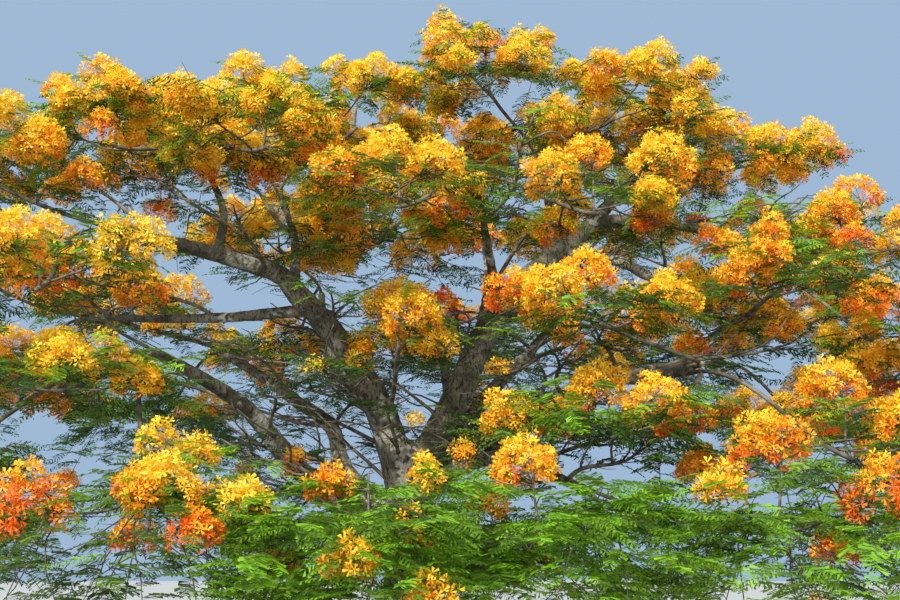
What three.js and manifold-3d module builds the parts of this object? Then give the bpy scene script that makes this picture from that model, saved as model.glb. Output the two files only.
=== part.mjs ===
// A flame tree in full flower: a short flared trunk that forks low, long snaking boughs that arch out and
// droop, and a wide umbrella crown of separate masses, each one twigs with feathery fronds and heads of
// orange blossom. Millimetres, +Z up, +Y away from the viewer. The origin is the middle of the flat cut at
// ground level.
import * as THREE from "three";
import { mergeVertices } from "three/addons/utils/BufferGeometryUtils.js";
import Module from "manifold-3d";

const wasm = await Module();
wasm.setup();

// Driving sizes
const FORK_HEIGHT = 2900;
const CUT_DEPTH = 20;
const TRUNK_LEAN = -60;
const TRUNK_FOOT_RADIUS = 350;
const TRUNK_TOP_RADIUS = 235;
const FLARE_REACH = 210;
const FLARE_HEIGHT = 330;
const FLARE_LOBES = 6;
const LOBE_SHARE = 0.45;
const COLLAR = 0.22;
const CARRY_ON = 140;
const JOINT_GAP = 0.3;
const CUT_GAP = 0.36;
const SPREAD = 1230;
const DEPTH = 640;
const BLOSSOM_RADIUS = 470;
const BLOSSOM_HEIGHT = 235;
const BLOSSOM_LEAN = 0.28;
const BLOSSOM_SEAT = 0.42;
const FROND_LENGTH = 860;
const FROND_WIDTH = 380;
const FROND_THICKNESS = 26;
const FROND_SET_BACK = 0.12;
const STEM_TIP = 26;
const TWIG_BASE = 14;
const FORK_BASE = 10;
const TWIG_TIP = 9;
const CELL_MARGIN = 8;
const WOOD_MARGIN = 12;

// How a mass's stem leaves its bough: as shares of the bough's tip radius, then of the stem's own reach
const SEAT_OUT = 0.53;
const SEAT_RADIUS = 0.42;
const LONE_SEAT_RADIUS = 0.78;
const STEM_CARRY = 0.4;
const STEM_TURN = 0.35;
const STEM_SAG = 0.06;
const STEM_TURNS_BACK = 0.25;

// The growing rule: shares of a mass's spread and depth, shares of the way along a stem or twig, and radians
const STEM_FOOT_DROP = 0.4;
const TOP_START = 0.97;
const TOP_OUT = [0, 0.15];
const TOP_UP = [0.6, 0.75];
const TWIG_STARTS = [0.76, 0.94];
const TWIG_OUT = [0.76, 0.86];
const TWIG_UP = [-0.25, 0.15];
const TWIG_SWAY = [-0.15, 0.15];
const FORK_START = 0.35;
const FORK_SWAY = [-0.12, 0.12];
const HEAD_SIZES = [0.85, 1.15];
const SHORT_TWIG_HEAD = 0.5;
const FROND_SWAY = [-0.25, 0.25];
const FROND_RISE = [-0.5, -0.1];
const FLOWERING_FROND = { start: 0.7, splay: 1 };
const LEAFY_FROND = { start: 0.9, splay: 0.5 };
const TWIG_TRIES = [1, 0.8, 0.6];
const FROND_TRIES = [1, 0.7];

// Faces round and along each kind of limb
const TRUNK_SIDES = 18;
const TRUNK_RINGS = 9;
const STOUT = 120;
const STOUT_SIDES = 7;
const SLIM_SIDES = 6;
const LIMB_RING_STEP = 760;
const STEM_SIDES = 3;
const STEM_RINGS = 3;
const TWIG_SIDES = 3;
const BLOSSOM_SIDES = 5;
const MERGE_TOLERANCE = 1;
const GROUND_CLEARANCE = 600;

// The boughs. from: the limb that it grows from and how far along that limb. legs: bearing from +X towards
// +Y and rise, in degrees, and length. radii: at the base and the tip. masses: bearing, rise and reach from
// the bough's tip to the middle of each mass, then its share of the usual spread and depth, and of its shoots
// that are in flower.
const BOUGHS = [
  { name: "left_main", from: ["trunk", 0.86], radii: [195, 130],
    legs: [[200, 70, 1200], [210, 50, 1200], [205, 45, 550]], masses: [] },
  { name: "right_main", from: ["trunk", 0.86], radii: [205, 135],
    legs: [[15, 60, 1350], [30, 65, 900], [25, 55, 850], [20, 40, 950]], masses: [] },
  { name: "left_upper", from: ["left_main", 1], radii: [122, 60],
    legs: [[210, 10, 1150], [215, 5, 900]],
    masses: [[197, 27, 1800, 1, 1, 1], [260, -25, 1900, 0.9, 1, 0.9]] },
  { name: "left_branch", from: ["left_main", 0.86], radii: [78, 42],
    legs: [[160, 0, 1450], [155, 5, 2000]],
    masses: [[215, 23, 1840, 1, 1, 1], [145, -20, 1750, 1, 1, 0.85]] },
  { name: "left_riser", from: ["left_upper", 0.45], radii: [62, 36],
    legs: [[90, 75, 600], [145, 65, 750]],
    masses: [[205, 16, 1180, 1, 1, 1], [313, 6, 1300, 1, 1, 1]] },
  { name: "left_top", from: ["left_main", 0.97], radii: [72, 40],
    legs: [[100, 50, 1050], [115, 50, 1050]],
    masses: [[342, 45, 1560, 1, 1, 1], [163, 51, 1490, 1, 1, 1]] },
  { name: "low_left", from: ["trunk", 0.6], radii: [160, 66],
    legs: [[210, 35, 1100], [215, 30, 700], [225, 40, 950], [235, 20, 1150]],
    masses: [[278, -35, 2700, 1, 1, 0.85], [240, -8, 1700, 1, 1, 1], [195, -20, 2900, 1, 1, 0.8]] },
  { name: "low_left_back", from: ["trunk", 0.68], radii: [130, 55],
    legs: [[145, 40, 1300], [125, 55, 750], [140, 30, 750], [135, 25, 1950]],
    masses: [[190, 25, 1850, 1, 1, 1], [135, -20, 1950, 1, 1, 0.6]] },
  { name: "right_upper", from: ["right_main", 1], radii: [122, 48],
    legs: [[20, 45, 950], [50, 40, 950]],
    masses: [[150, 55, 950, 1, 1, 1], [346, 7, 1350, 1, 1, 1]] },
  { name: "right_outer", from: ["right_upper", 0.3], radii: [88, 46],
    legs: [[330, -10, 950], [325, -20, 1050], [325, -40, 950]],
    masses: [[25, 31, 1530, 1, 1, 1], [315, -35, 1800, 1, 1, 0.9]] },
  { name: "right_droop", from: ["right_main", 0.95], radii: [88, 46],
    legs: [[355, -5, 800], [315, -30, 650], [310, -35, 1050]],
    masses: [[285, 5, 1750, 1, 1, 0.85]] },
  { name: "centre_riser", from: ["right_main", 0.92], radii: [90, 44],
    legs: [[70, 80, 800], [130, 75, 650]],
    masses: [[231, 41, 1570, 1.1, 1, 1], [315, 26, 1440, 1, 1, 1]] },
  { name: "inner_riser", from: ["right_main", 0.5], radii: [85, 42],
    legs: [[65, 70, 1250], [130, 75, 1350]],
    masses: [[225, -28, 2100, 1, 1, 1], [110, 35, 1500, 1, 1, 1]] },
  { name: "front_crown", from: ["right_main", 0.68], radii: [75, 40],
    legs: [[255, 40, 1000], [260, 35, 850]],
    masses: [[230, -10, 1500, 1, 1, 1], [325, -10, 1650, 1, 1, 1]] },
  { name: "low_right", from: ["trunk", 0.76], radii: [112, 50],
    legs: [[325, 35, 850], [320, 10, 750], [305, -15, 750], [295, -15, 1000]],
    masses: [[253, -8, 2340, 1.15, 1, 0.15], [305, -5, 2600, 1, 1, 0.5]] },
  { name: "low_front", from: ["trunk", 0.53], radii: [85, 42],
    legs: [[255, 15, 1550], [260, 15, 1550]], masses: [[288, -13, 1780, 1.15, 1, 0.15]] },
  { name: "front_right", from: ["trunk", 0.79], radii: [112, 52],
    legs: [[335, 30, 1700], [320, 20, 1400], [310, 0, 1200]],
    masses: [[325, -25, 1800, 1, 1, 0.9], [205, 30, 1300, 0.7, 0.8, 0.9],
      [215, -25, 1300, 0.9, 0.9, 0.75]] },
  { name: "right_low", from: ["trunk", 0.84], radii: [112, 50],
    legs: [[25, 35, 1900], [20, 20, 1750], [20, 10, 1450]],
    masses: [[20, 35, 1450, 1, 1, 1], [5, -30, 1600, 1, 1, 0.9]] },
  { name: "back_right", from: ["trunk", 0.8], radii: [140, 55],
    legs: [[55, 40, 2000], [55, 35, 2150], [50, 40, 1000]],
    masses: [[35, 75, 1250, 1, 1, 1], [30, -20, 1800, 1, 1, 0.65]] },
  { name: "back_left", from: ["trunk", 0.72], radii: [140, 55],
    legs: [[110, 45, 2050], [120, 40, 2200], [105, 55, 900]],
    masses: [[190, 55, 1200, 1, 1, 1], [115, -20, 1850, 1, 1, 0.65]] },
  { name: "back_centre", from: ["back_right", 0.26], radii: [86, 45],
    legs: [[95, 50, 2050], [85, 30, 1550]], masses: [[85, -10, 1650, 1, 1, 0.65]] },
];

// One small mass on a thin stem of its own, in front of the fork: it grows from the side of a bough. Its size
// is given as the last three values of a mass above.
const FORK_MASS = {
  name: "crown_fork", from: ["left_main", 0.3], way: [0.3, -0.8, 0.5], radius: 38, seed: 97,
  middle: [-100, -1150, 4300], size: [0.62, 0.8, 1],
};

const BARK = { color: 0x6d6253, roughness: 0.9, metalness: 0 };
const FLOWER = { color: 0xf2960f, roughness: 0.7, metalness: 0 };
const LEAFY = { color: 0x4f8f1f, roughness: 0.7, metalness: 0 };
const LEAFY_BELOW = 0.45;

const UP = new THREE.Vector3(0, 0, 1);
const radians = THREE.MathUtils.degToRad;
const mix = THREE.MathUtils.lerp;

// Numbers from 0 to 1 that are the same on every run.
function seeded(seed) {
  let state = seed >>> 0;
  return () => {
    state = (Math.imul(state, 1664525) + 1013904223) >>> 0;
    return state / 4294967296;
  };
}

// The step that a leg makes, from its bearing and rise in degrees and its length.
function stride([bearing, rise, length]) {
  const flat = length * Math.cos(radians(rise));
  return new THREE.Vector3(
    flat * Math.cos(radians(bearing)),
    flat * Math.sin(radians(bearing)),
    length * Math.sin(radians(rise)),
  );
}

// A cylinder bent along a curve. radiusAt takes the share of the way along and the angle round the limb, and
// past is how far the tube runs on beyond both ends of the curve.
function bentTube(curve, radiusAt, sides, rings, past) {
  const tube = new THREE.CylinderGeometry(1, 1, 1, sides, rings);
  const frames = curve.computeFrenetFrames(rings, false);
  const place = tube.getAttribute("position");
  for (let i = 0; i < place.count; i += 1) {
    const ring = Math.round((place.getY(i) + 0.5) * rings);
    const along = ring / rings;
    const [across, over] = [place.getX(i), place.getZ(i)];
    const radius = radiusAt(along, Math.atan2(over, across));
    const beyond = ring === 0 ? -past : ring === rings ? past : 0;
    const point = curve
      .getPointAt(along)
      .addScaledVector(frames.tangents[ring], beyond)
      .addScaledVector(frames.normals[ring], across * radius)
      .addScaledVector(frames.binormals[ring], -over * radius);
    place.setXYZ(i, point.x, point.y, point.z);
  }
  return tube;
}

function solidOf(geometry) {
  const bare = geometry.index ? geometry.toNonIndexed() : geometry.clone();
  bare.deleteAttribute("normal");
  bare.deleteAttribute("uv");
  const merged = mergeVertices(bare, 1e-3);
  return new wasm.Manifold(
    new wasm.Mesh({
      numProp: 3,
      vertProperties: merged.getAttribute("position").array,
      triVerts: new Uint32Array(merged.index.array),
    }),
  );
}

// The largest single body of a solid, so that no loose scrap stays.
function mainBody(solid) {
  return solid.decompose().reduce((best, body) => (body.volume() > best.volume() ? body : best));
}

function meet(a, b) {
  const [p, q] = [a.boundingBox(), b.boundingBox()];
  const apart = [0, 1, 2].some((k) => p.min[k] > q.max[k] || q.min[k] > p.max[k]);
  return !apart && !a.intersect(b).isEmpty();
}

function meshOf(solid, name, look) {
  const { numProp, numVert, vertProperties, triVerts } = solid.getMesh();
  const points = new Float32Array(numVert * 3);
  for (let i = 0; i < numVert; i += 1) {
    points.set(vertProperties.subarray(i * numProp, i * numProp + 3), i * 3);
  }
  const geometry = new THREE.BufferGeometry();
  geometry.setAttribute("position", new THREE.BufferAttribute(points, 3));
  geometry.setIndex(new THREE.BufferAttribute(triVerts, 1));
  geometry.computeVertexNormals();
  const mesh = new THREE.Mesh(geometry, new THREE.MeshStandardMaterial(look));
  mesh.name = name;
  return mesh;
}

// The trunk rises straight from the cut, leans a little, and spreads at the foot in rounded root lobes. Its
// curve starts just under the ground, so that the cut across it is flat.
function trunkLimb() {
  const curve = new THREE.CubicBezierCurve3(
    new THREE.Vector3(0, 0, -CUT_DEPTH),
    new THREE.Vector3(0, 0, FORK_HEIGHT * 0.3),
    new THREE.Vector3(TRUNK_LEAN * 0.5, 0, FORK_HEIGHT * 0.65),
    new THREE.Vector3(TRUNK_LEAN, 0, FORK_HEIGHT),
  );
  const radiusAt = (along, angle) => {
    const height = along * FORK_HEIGHT;
    const lobe = 1 + LOBE_SHARE * Math.cos(FLARE_LOBES * angle);
    const flare = FLARE_REACH * lobe * Math.exp(-height / FLARE_HEIGHT);
    return mix(TRUNK_FOOT_RADIUS, TRUNK_TOP_RADIUS, Math.sqrt(along)) + flare;
  };
  return { name: "trunk", curve, radiusAt, sides: TRUNK_SIDES, rings: TRUNK_RINGS };
}

// A bough starts on its parent's axis, or carries on from the parent's end, and tapers along its legs.
function boughLimb(spec, limbs) {
  const [parentName, share] = spec.from;
  const parent = limbs.get(parentName);
  const start = parent.curve.getPointAt(share);
  const points = [start];
  if (share === 1) {
    points.push(start.clone().addScaledVector(parent.curve.getTangentAt(1), CARRY_ON));
  }
  for (const leg of spec.legs) {
    points.push(points[points.length - 1].clone().add(stride(leg)));
  }
  const curve = new THREE.CatmullRomCurve3(points, false, "centripetal");
  const [base, tip] = spec.radii;
  const length = curve.getLength();
  const collar = share === 1 ? 0 : COLLAR;
  const swell = (along) => 1 + collar * Math.exp((-along * length) / (2 * base));
  const radiusAt = (along) => mix(base, tip, along) * swell(along);
  const sides = base > STOUT ? STOUT_SIDES : SLIM_SIDES;
  return { name: spec.name, curve, radiusAt, sides, rings: Math.ceil(length / LIMB_RING_STEP) };
}

// Each limb is cut back from those before it, and keeps a small gap to them.
function carve(limb, earlier) {
  const grown = (extra) => {
    const radiusAt = (along, angle) => limb.radiusAt(along, angle) + extra;
    return solidOf(bentTube(limb.curve, radiusAt, limb.sides, limb.rings, extra));
  };
  limb.solid = grown(0);
  for (const other of earlier) {
    if (meet(limb.solid, other.gapped)) limb.solid = mainBody(limb.solid.subtract(other.gapped));
  }
  limb.gapped = grown(CUT_GAP);
  limb.guard = grown(WOOD_MARGIN);
  return limb;
}

// Where the stems of one bough's masses leave its end face: side by side, each turned towards its own mass.
function stemSeats(bough, middles) {
  const tangent = bough.curve.getTangentAt(1);
  const end = bough.curve.getPointAt(1).addScaledVector(tangent, JOINT_GAP);
  const tip = bough.radiusAt(1);
  if (middles.length === 1) return [{ seat: end, tangent, radius: tip * LONE_SEAT_RADIUS }];
  const side = new THREE.Vector3().crossVectors(tangent, UP).normalize();
  const over = new THREE.Vector3().crossVectors(side, tangent);
  const angles = middles.map((middle) => {
    const way = middle.clone().sub(end);
    return Math.atan2(way.dot(over), way.dot(side));
  });
  const order = angles.map((angle, i) => i).sort((a, b) => angles[a] - angles[b]);
  const gap = (2 * Math.PI) / middles.length;
  const [sine, cosine] = order.reduce(
    ([s, c], i, place) => [s + Math.sin(angles[i] - place * gap), c + Math.cos(angles[i] - place * gap)],
    [0, 0],
  );
  const turn = Math.atan2(sine, cosine);
  return middles.map((middle, i) => {
    const angle = turn + order.indexOf(i) * gap;
    const seat = end.clone();
    seat.addScaledVector(side, Math.cos(angle) * tip * SEAT_OUT);
    seat.addScaledVector(over, Math.sin(angle) * tip * SEAT_OUT);
    return { seat, tangent, radius: tip * SEAT_RADIUS };
  });
}

// The stem bends from the bough's own direction up into the middle of its mass.
function stemLimb(mass, seat, tangent, radius) {
  const foot = mass.middle.clone().addScaledVector(UP, -STEM_FOOT_DROP * mass.depth);
  const reach = seat.distanceTo(foot);
  const curve = new THREE.CubicBezierCurve3(
    seat,
    seat.clone().addScaledVector(tangent, reach * STEM_CARRY),
    foot.clone().lerp(seat, STEM_TURN).addScaledVector(UP, -STEM_SAG * reach),
    foot,
  );
  const turnsBack = foot.clone().sub(seat).dot(tangent) < reach * STEM_TURNS_BACK;
  const radiusAt = (along) => mix(radius, STEM_TIP, along);
  return { name: mass.name, curve, radiusAt, sides: STEM_SIDES, rings: STEM_RINGS * (turnsBack ? 2 : 1) };
}

function twigSolid(start, end, base) {
  const twig = new THREE.CylinderGeometry(TWIG_TIP, base, start.distanceTo(end), TWIG_SIDES, 1);
  const turn = new THREE.Quaternion().setFromUnitVectors(
    new THREE.Vector3(0, 1, 0),
    end.clone().sub(start).normalize(),
  );
  twig.applyQuaternion(turn);
  const middle = start.clone().lerp(end, 0.5);
  twig.translate(middle.x, middle.y, middle.z);
  return solidOf(twig);
}

// A frond is a thin kite, widest near its root, which starts inside the twig.
function frondSolid({ root, bearing, rise, length }) {
  const frond = new THREE.OctahedronGeometry(1, 0);
  frond.scale(length / 2, FROND_WIDTH / 2, FROND_THICKNESS / 2);
  const place = frond.getAttribute("position");
  for (let i = 0; i < place.count; i += 1) {
    const isEnd = Math.abs(place.getX(i)) > 1;
    place.setX(i, place.getX(i) + length / 2 - (isEnd ? 0 : length * FROND_SET_BACK));
  }
  frond.rotateY(-rise);
  frond.rotateZ(bearing);
  frond.translate(root.x, root.y, root.z);
  return solidOf(frond);
}

// A head of blossom: a flattened dome that sits on the end of its twig.
function blossomSolid({ middle, size, turn }) {
  const head = new THREE.SphereGeometry(1, BLOSSOM_SIDES, 2);
  head.rotateX(Math.PI / 2);
  head.rotateZ(turn);
  head.scale(BLOSSOM_RADIUS * size, BLOSSOM_RADIUS * size, BLOSSOM_HEIGHT * size);
  head.translate(middle.x, middle.y, middle.z);
  return solidOf(head);
}

// A point on the straight stretches between a stem's rings.
function alongStem(stem, share) {
  const ring = Math.min(Math.floor(share * stem.rings), stem.rings - 1);
  const [from, to] = [ring, ring + 1].map((n) => stem.curve.getPointAt(n / stem.rings));
  return from.lerp(to, share * stem.rings - ring);
}

// A place in a mass at a bearing from its middle, out by a share of its spread and up by one of its depth.
function within(mass, bearing, out, up) {
  const reach = mass.spread * out;
  const step = new THREE.Vector3(reach * Math.cos(bearing), reach * Math.sin(bearing), mass.depth * up);
  return step.add(mass.middle);
}

// Whether a flattened ball keeps to a mass's own side of the planes halfway to its neighbours.
function inOwnSpace(mass, centre, flat, tall) {
  if (centre.z - tall < GROUND_CLEARANCE) return false;
  return mass.neighbours.every((middle) => {
    const way = middle.clone().sub(mass.middle);
    const half = way.length() / 2 - CELL_MARGIN;
    way.normalize();
    const support = Math.hypot(flat * way.x, flat * way.y, tall * way.z);
    return centre.clone().sub(mass.middle).dot(way) + support < half;
  });
}

// One mass: its stem with one twig up to the top and main twigs that fork in two, each end with a head of
// blossom or a fan of fronds. A twig that would leave the mass's own space or touch a limb is shortened, or
// else skipped.
function growMass(mass, stem, guards) {
  const rand = seeded(mass.seed);
  const between = ([low, high]) => mix(low, high, rand());
  const pieces = [stem.solid];
  const clear = (solid) => !guards.some((guard) => meet(solid, guard));
  // Grows one twig with what it bears, and returns it, or null where none fits. It draws the same numbers
  // whether it fits or not.
  const growTwig = (start, aim, bearing, base, bare) => {
    const flowering = rand() < mass.bloom;
    const fullSize = between(HEAD_SIZES);
    const turn = between([0, Math.PI]);
    const fan = [1, -1].map((side) => ({ side, sway: between(FROND_SWAY), rise: between(FROND_RISE) }));
    for (const share of TWIG_TRIES) {
      const end = start.clone().lerp(aim, share);
      const size = fullSize * mix(SHORT_TWIG_HEAD, 1, share);
      const middle = end.clone().addScaledVector(UP, BLOSSOM_HEIGHT * size * BLOSSOM_SEAT);
      middle.x += BLOSSOM_LEAN * BLOSSOM_RADIUS * Math.cos(bearing);
      middle.y += BLOSSOM_LEAN * BLOSSOM_RADIUS * Math.sin(bearing);
      const flat = flowering ? BLOSSOM_RADIUS * size : TWIG_TIP;
      const tall = flowering ? BLOSSOM_HEIGHT * size : TWIG_TIP;
      if (!inOwnSpace(mass, flowering ? middle : end, flat, tall)) continue;
      const grown = [twigSolid(start, end, base)];
      if (flowering) grown.push(blossomSolid({ middle, size, turn }));
      if (!grown.every(clear)) continue;
      const fronds = flowering ? fan.slice(0, bare ? 0 : 1) : fan;
      const set = flowering ? FLOWERING_FROND : LEAFY_FROND;
      for (const { side, sway, rise } of fronds) {
        const root = start.clone().lerp(end, set.start);
        const heading = bearing + side * set.splay + sway;
        const way = new THREE.Vector3(Math.cos(heading), Math.sin(heading), Math.tan(rise));
        const length = FROND_TRIES.map((part) => part * FROND_LENGTH).find((reach) =>
          inOwnSpace(mass, root.clone().add(way.setLength(reach)), 0, 0),
        );
        const frond = length && frondSolid({ root, bearing: heading, rise, length });
        if (frond && clear(frond)) grown.push(frond);
      }
      pieces.push(...grown);
      return { start, end };
    }
    return null;
  };
  const phase = between([0, 2 * Math.PI]);
  const top = within(mass, phase, between(TOP_OUT), between(TOP_UP));
  growTwig(alongStem(stem, TOP_START), top, phase, TWIG_BASE, true);
  for (let k = 0; k < mass.limbs; k += 1) {
    const bearing = phase + (k * 2 * Math.PI) / mass.limbs + between(TWIG_SWAY);
    const aim = within(mass, bearing, between(TWIG_OUT), between(TWIG_UP));
    const start = alongStem(stem, mix(...TWIG_STARTS, k / mass.limbs));
    const main = growTwig(start, aim, bearing, TWIG_BASE, k > 0);
    const heading = bearing + Math.PI / mass.limbs + between(FORK_SWAY);
    const fork = main ? main.start.clone().lerp(main.end, FORK_START) : start;
    const forkAim = within(mass, heading, between(TWIG_OUT), between(TWIG_UP));
    growTwig(fork, forkAim, heading, FORK_BASE, false);
  }
  return mainBody(wasm.Manifold.union(pieces).simplify(MERGE_TOLERANCE));
}

const trunk = carve(trunkLimb(), []);
trunk.solid = trunk.solid.trimByPlane([0, 0, 1], 0);
const limbs = new Map([["trunk", trunk]]);
for (const spec of BOUGHS) {
  limbs.set(spec.name, carve(boughLimb(spec, limbs), [...limbs.values()]));
}

const masses = [];
const stems = [];
for (const [place, spec] of BOUGHS.entries()) {
  const bough = limbs.get(spec.name);
  const tip = bough.curve.getPointAt(1);
  const own = spec.masses.map(([bearing, rise, reach, spread, depth, bloom], i) => ({
    name: `crown_${spec.name}_${"abc"[i]}`,
    seed: 101 + place * 7 + i,
    middle: tip.clone().add(stride([bearing, rise, reach])),
    spread: SPREAD * spread,
    depth: DEPTH * depth,
    bloom,
    limbs: 3,
  }));
  const seats = stemSeats(bough, own.map((mass) => mass.middle));
  own.forEach((mass, i) => {
    const { seat, tangent, radius } = seats[i];
    masses.push(mass);
    stems.push(carve(stemLimb(mass, seat, tangent, radius), []));
  });
}

const [forkSpread, forkDepth, forkBloom] = FORK_MASS.size;
const forkMass = {
  ...FORK_MASS,
  middle: new THREE.Vector3(...FORK_MASS.middle),
  spread: SPREAD * forkSpread,
  depth: DEPTH * forkDepth,
  bloom: forkBloom,
  limbs: 1,
};
const forkSeat = limbs.get(FORK_MASS.from[0]).curve.getPointAt(FORK_MASS.from[1]);
const forkWay = new THREE.Vector3(...FORK_MASS.way).normalize();
masses.push(forkMass);
stems.push(carve(stemLimb(forkMass, forkSeat, forkWay, FORK_MASS.radius), [...limbs.values()]));

const tree = new THREE.Group();
for (const limb of limbs.values()) {
  tree.add(meshOf(limb.solid, limb.name === "trunk" ? "trunk" : `bough_${limb.name}`, BARK));
}
masses.forEach((mass, i) => {
  mass.neighbours = masses.filter((other) => other !== mass).map((other) => other.middle);
  const otherStems = stems.filter((stem) => stem !== stems[i]);
  const guards = [...limbs.values(), ...otherStems].map((limb) => limb.guard);
  const look = mass.bloom < LEAFY_BELOW ? LEAFY : FLOWER;
  tree.add(meshOf(growMass(mass, stems[i], guards), mass.name, look));
});

export default tree;
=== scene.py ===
"""A flame tree in full flower: bark, twigs, feathery fronds and heads of orange blossom, in metres, +Z up."""

import math
import random

import bmesh
import bpy
import numpy as np
from mathutils import Matrix, Vector, kdtree, noise


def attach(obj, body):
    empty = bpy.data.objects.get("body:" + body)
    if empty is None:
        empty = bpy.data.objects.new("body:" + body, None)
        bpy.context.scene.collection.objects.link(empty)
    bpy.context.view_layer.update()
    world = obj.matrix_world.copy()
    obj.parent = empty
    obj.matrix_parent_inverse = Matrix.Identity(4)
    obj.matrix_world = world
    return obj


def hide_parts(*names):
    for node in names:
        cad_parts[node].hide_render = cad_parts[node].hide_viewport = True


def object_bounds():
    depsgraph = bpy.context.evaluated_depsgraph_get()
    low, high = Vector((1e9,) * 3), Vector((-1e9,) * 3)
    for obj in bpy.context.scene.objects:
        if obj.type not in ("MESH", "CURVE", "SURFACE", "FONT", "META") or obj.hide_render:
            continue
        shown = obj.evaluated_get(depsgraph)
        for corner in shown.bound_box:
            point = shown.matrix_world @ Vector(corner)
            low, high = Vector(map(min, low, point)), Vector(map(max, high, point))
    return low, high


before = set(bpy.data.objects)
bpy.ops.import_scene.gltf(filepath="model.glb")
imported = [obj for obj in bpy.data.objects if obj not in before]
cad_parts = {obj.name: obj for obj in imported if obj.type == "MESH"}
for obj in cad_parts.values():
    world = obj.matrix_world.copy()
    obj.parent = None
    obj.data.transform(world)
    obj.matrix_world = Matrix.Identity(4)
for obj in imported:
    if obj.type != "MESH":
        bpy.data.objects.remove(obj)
cad_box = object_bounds()


# Camera. The tree is seen at eye height from fifteen metres in front of its trunk, through a lens tipped up
# into the crown, which runs out of the picture on both sides.
EYE = (0.5, -15.0, 1.7)
TIPPED_UP = 12
FOCAL_LENGTH = 48
FARTHEST_SEEN = 500

camera = bpy.data.objects.new("camera", bpy.data.cameras.new("camera"))
camera.data.lens = FOCAL_LENGTH
camera.data.clip_end = FARTHEST_SEEN
camera.location = EYE
camera.rotation_euler = (math.radians(90 + TIPPED_UP), 0, 0)
bpy.context.scene.collection.objects.link(camera)
bpy.context.scene.camera = camera


# Floor and light. A wide pale floor, one soft lamp high on the left in front of the tree, a weaker and wider
# one low on the right, and even light from all round. The colours are shown as they are, with no look on top.
FLOOR_RADIUS = 70
FLOOR_SIDES = 128
FLOOR_LUMPS = 0.4
FLOOR_SHADE = (0.40, 0.40, 0.385, 1)
FLOOR_SHADE_DARK = (0.36, 0.36, 0.345, 1)
AIR_COLOUR = (0.52, 0.73, 1.0, 1)
AIR_STRENGTH = 0.67
# Each lamp: its strength and colour, how many degrees wide it is, and how it is turned
LAMPS = {
    "soft_lamp": (5.9, (1.0, 0.95, 0.86), 6, (52, 0, -32)),
    "fill_lamp": (2.3, (1.0, 0.93, 0.82), 60, (76, 0, 18)),
}


class Socket:
    """An output of a shader node. Python's operators on it add Math nodes, so a formula reads as one."""

    def __init__(self, finish, output):
        self.finish, self.output = finish, output

    def _maths(self, operation, *terms):
        return self.finish.node("ShaderNodeMath", {"operation": operation}, dict(enumerate(terms)))

    def __add__(self, other):
        return self._maths("ADD", self, other)

    def __mul__(self, other):
        return self._maths("MULTIPLY", self, other)

    __radd__ = __add__
    __rmul__ = __mul__

    def over(self, low, high):
        """How far the value is from low to high, as 0 to 1."""
        settings = {"clamp": True, "interpolation_type": "SMOOTHSTEP"}
        sockets = {"Value": self, "From Min": low, "From Max": high}
        return self.finish.node("ShaderNodeMapRange", settings, sockets)


class Finish:
    """One material, whose nodes are all made by the same method."""

    def __init__(self, name, roughness):
        self.material = bpy.data.materials.new(name)
        self.material.use_nodes = True
        self.tree = self.material.node_tree
        self.shader = self.tree.nodes["Principled BSDF"]
        self.shader.inputs["Roughness"].default_value = roughness
        self.place = self.node("ShaderNodeTexCoord", output="Object")

    def node(self, kind, settings=None, inputs=None, output=0):
        """Adds a node: its settings first, then the values or links of its sockets. Gives one output."""
        node = self.tree.nodes.new(kind)
        for name, value in (settings or {}).items():
            setattr(node, name, value)
        for name, value in (inputs or {}).items():
            self.feed(node.inputs[name], value)
        return Socket(self, node.outputs[output])

    def feed(self, socket, value):
        """Links a socket to an output, or sets it to a value."""
        if isinstance(value, Socket):
            self.tree.links.new(value.output, socket)
        else:
            socket.default_value = value

    def grain(self, lumps, detail=2, place=None, distortion=0.0):
        """Soft noise of so many lumps a metre, from about 0.3 to 0.7."""
        sockets = {"Vector": place or self.place, "Scale": lumps, "Detail": detail, "Distortion": distortion}
        return self.node("ShaderNodeTexNoise", None, sockets)

    def blend(self, share, first, second):
        """A colour between two others."""
        settings = {"data_type": "RGBA"}
        return self.node("ShaderNodeMix", settings, {0: share, 6: first, 7: second}, output=2)

    def stretched(self, scale):
        """Places on the object, with each axis to its own scale."""
        return self.node("ShaderNodeMapping", None, {"Vector": self.place, "Scale": scale})

    def raised(self, height, distance):
        """Feeds a relief, as deep as a distance in metres, to the shader's normal."""
        relief = self.node("ShaderNodeBump", None, {"Height": height, "Distance": distance})
        self.feed(self.shader.inputs["Normal"], relief)


def new_piece(name, mesh, finish):
    """A finished mesh as an object at the origin."""
    mesh.materials.append(finish.material)
    piece = bpy.data.objects.new(name, mesh)
    bpy.context.scene.collection.objects.link(piece)
    return piece


floor_finish = Finish("pale floor", roughness=0.8)
floor_tone = floor_finish.blend(floor_finish.grain(FLOOR_LUMPS), FLOOR_SHADE, FLOOR_SHADE_DARK)
floor_finish.feed(floor_finish.shader.inputs["Base Color"], floor_tone)
floor_mesh = bpy.data.meshes.new("floor")
floor_shape = bmesh.new()
bmesh.ops.create_circle(floor_shape, cap_ends=True, radius=FLOOR_RADIUS, segments=FLOOR_SIDES)
floor_shape.to_mesh(floor_mesh)
floor_shape.free()
new_piece("floor", floor_mesh, floor_finish)

for name, (strength, colour, width, tilt) in LAMPS.items():
    lamp = bpy.data.objects.new(name, bpy.data.lights.new(name, "SUN"))
    lamp.data.energy = strength
    lamp.data.color = colour
    lamp.data.angle = math.radians(width)
    lamp.rotation_euler = [math.radians(turn) for turn in tilt]
    bpy.context.scene.collection.objects.link(lamp)

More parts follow.
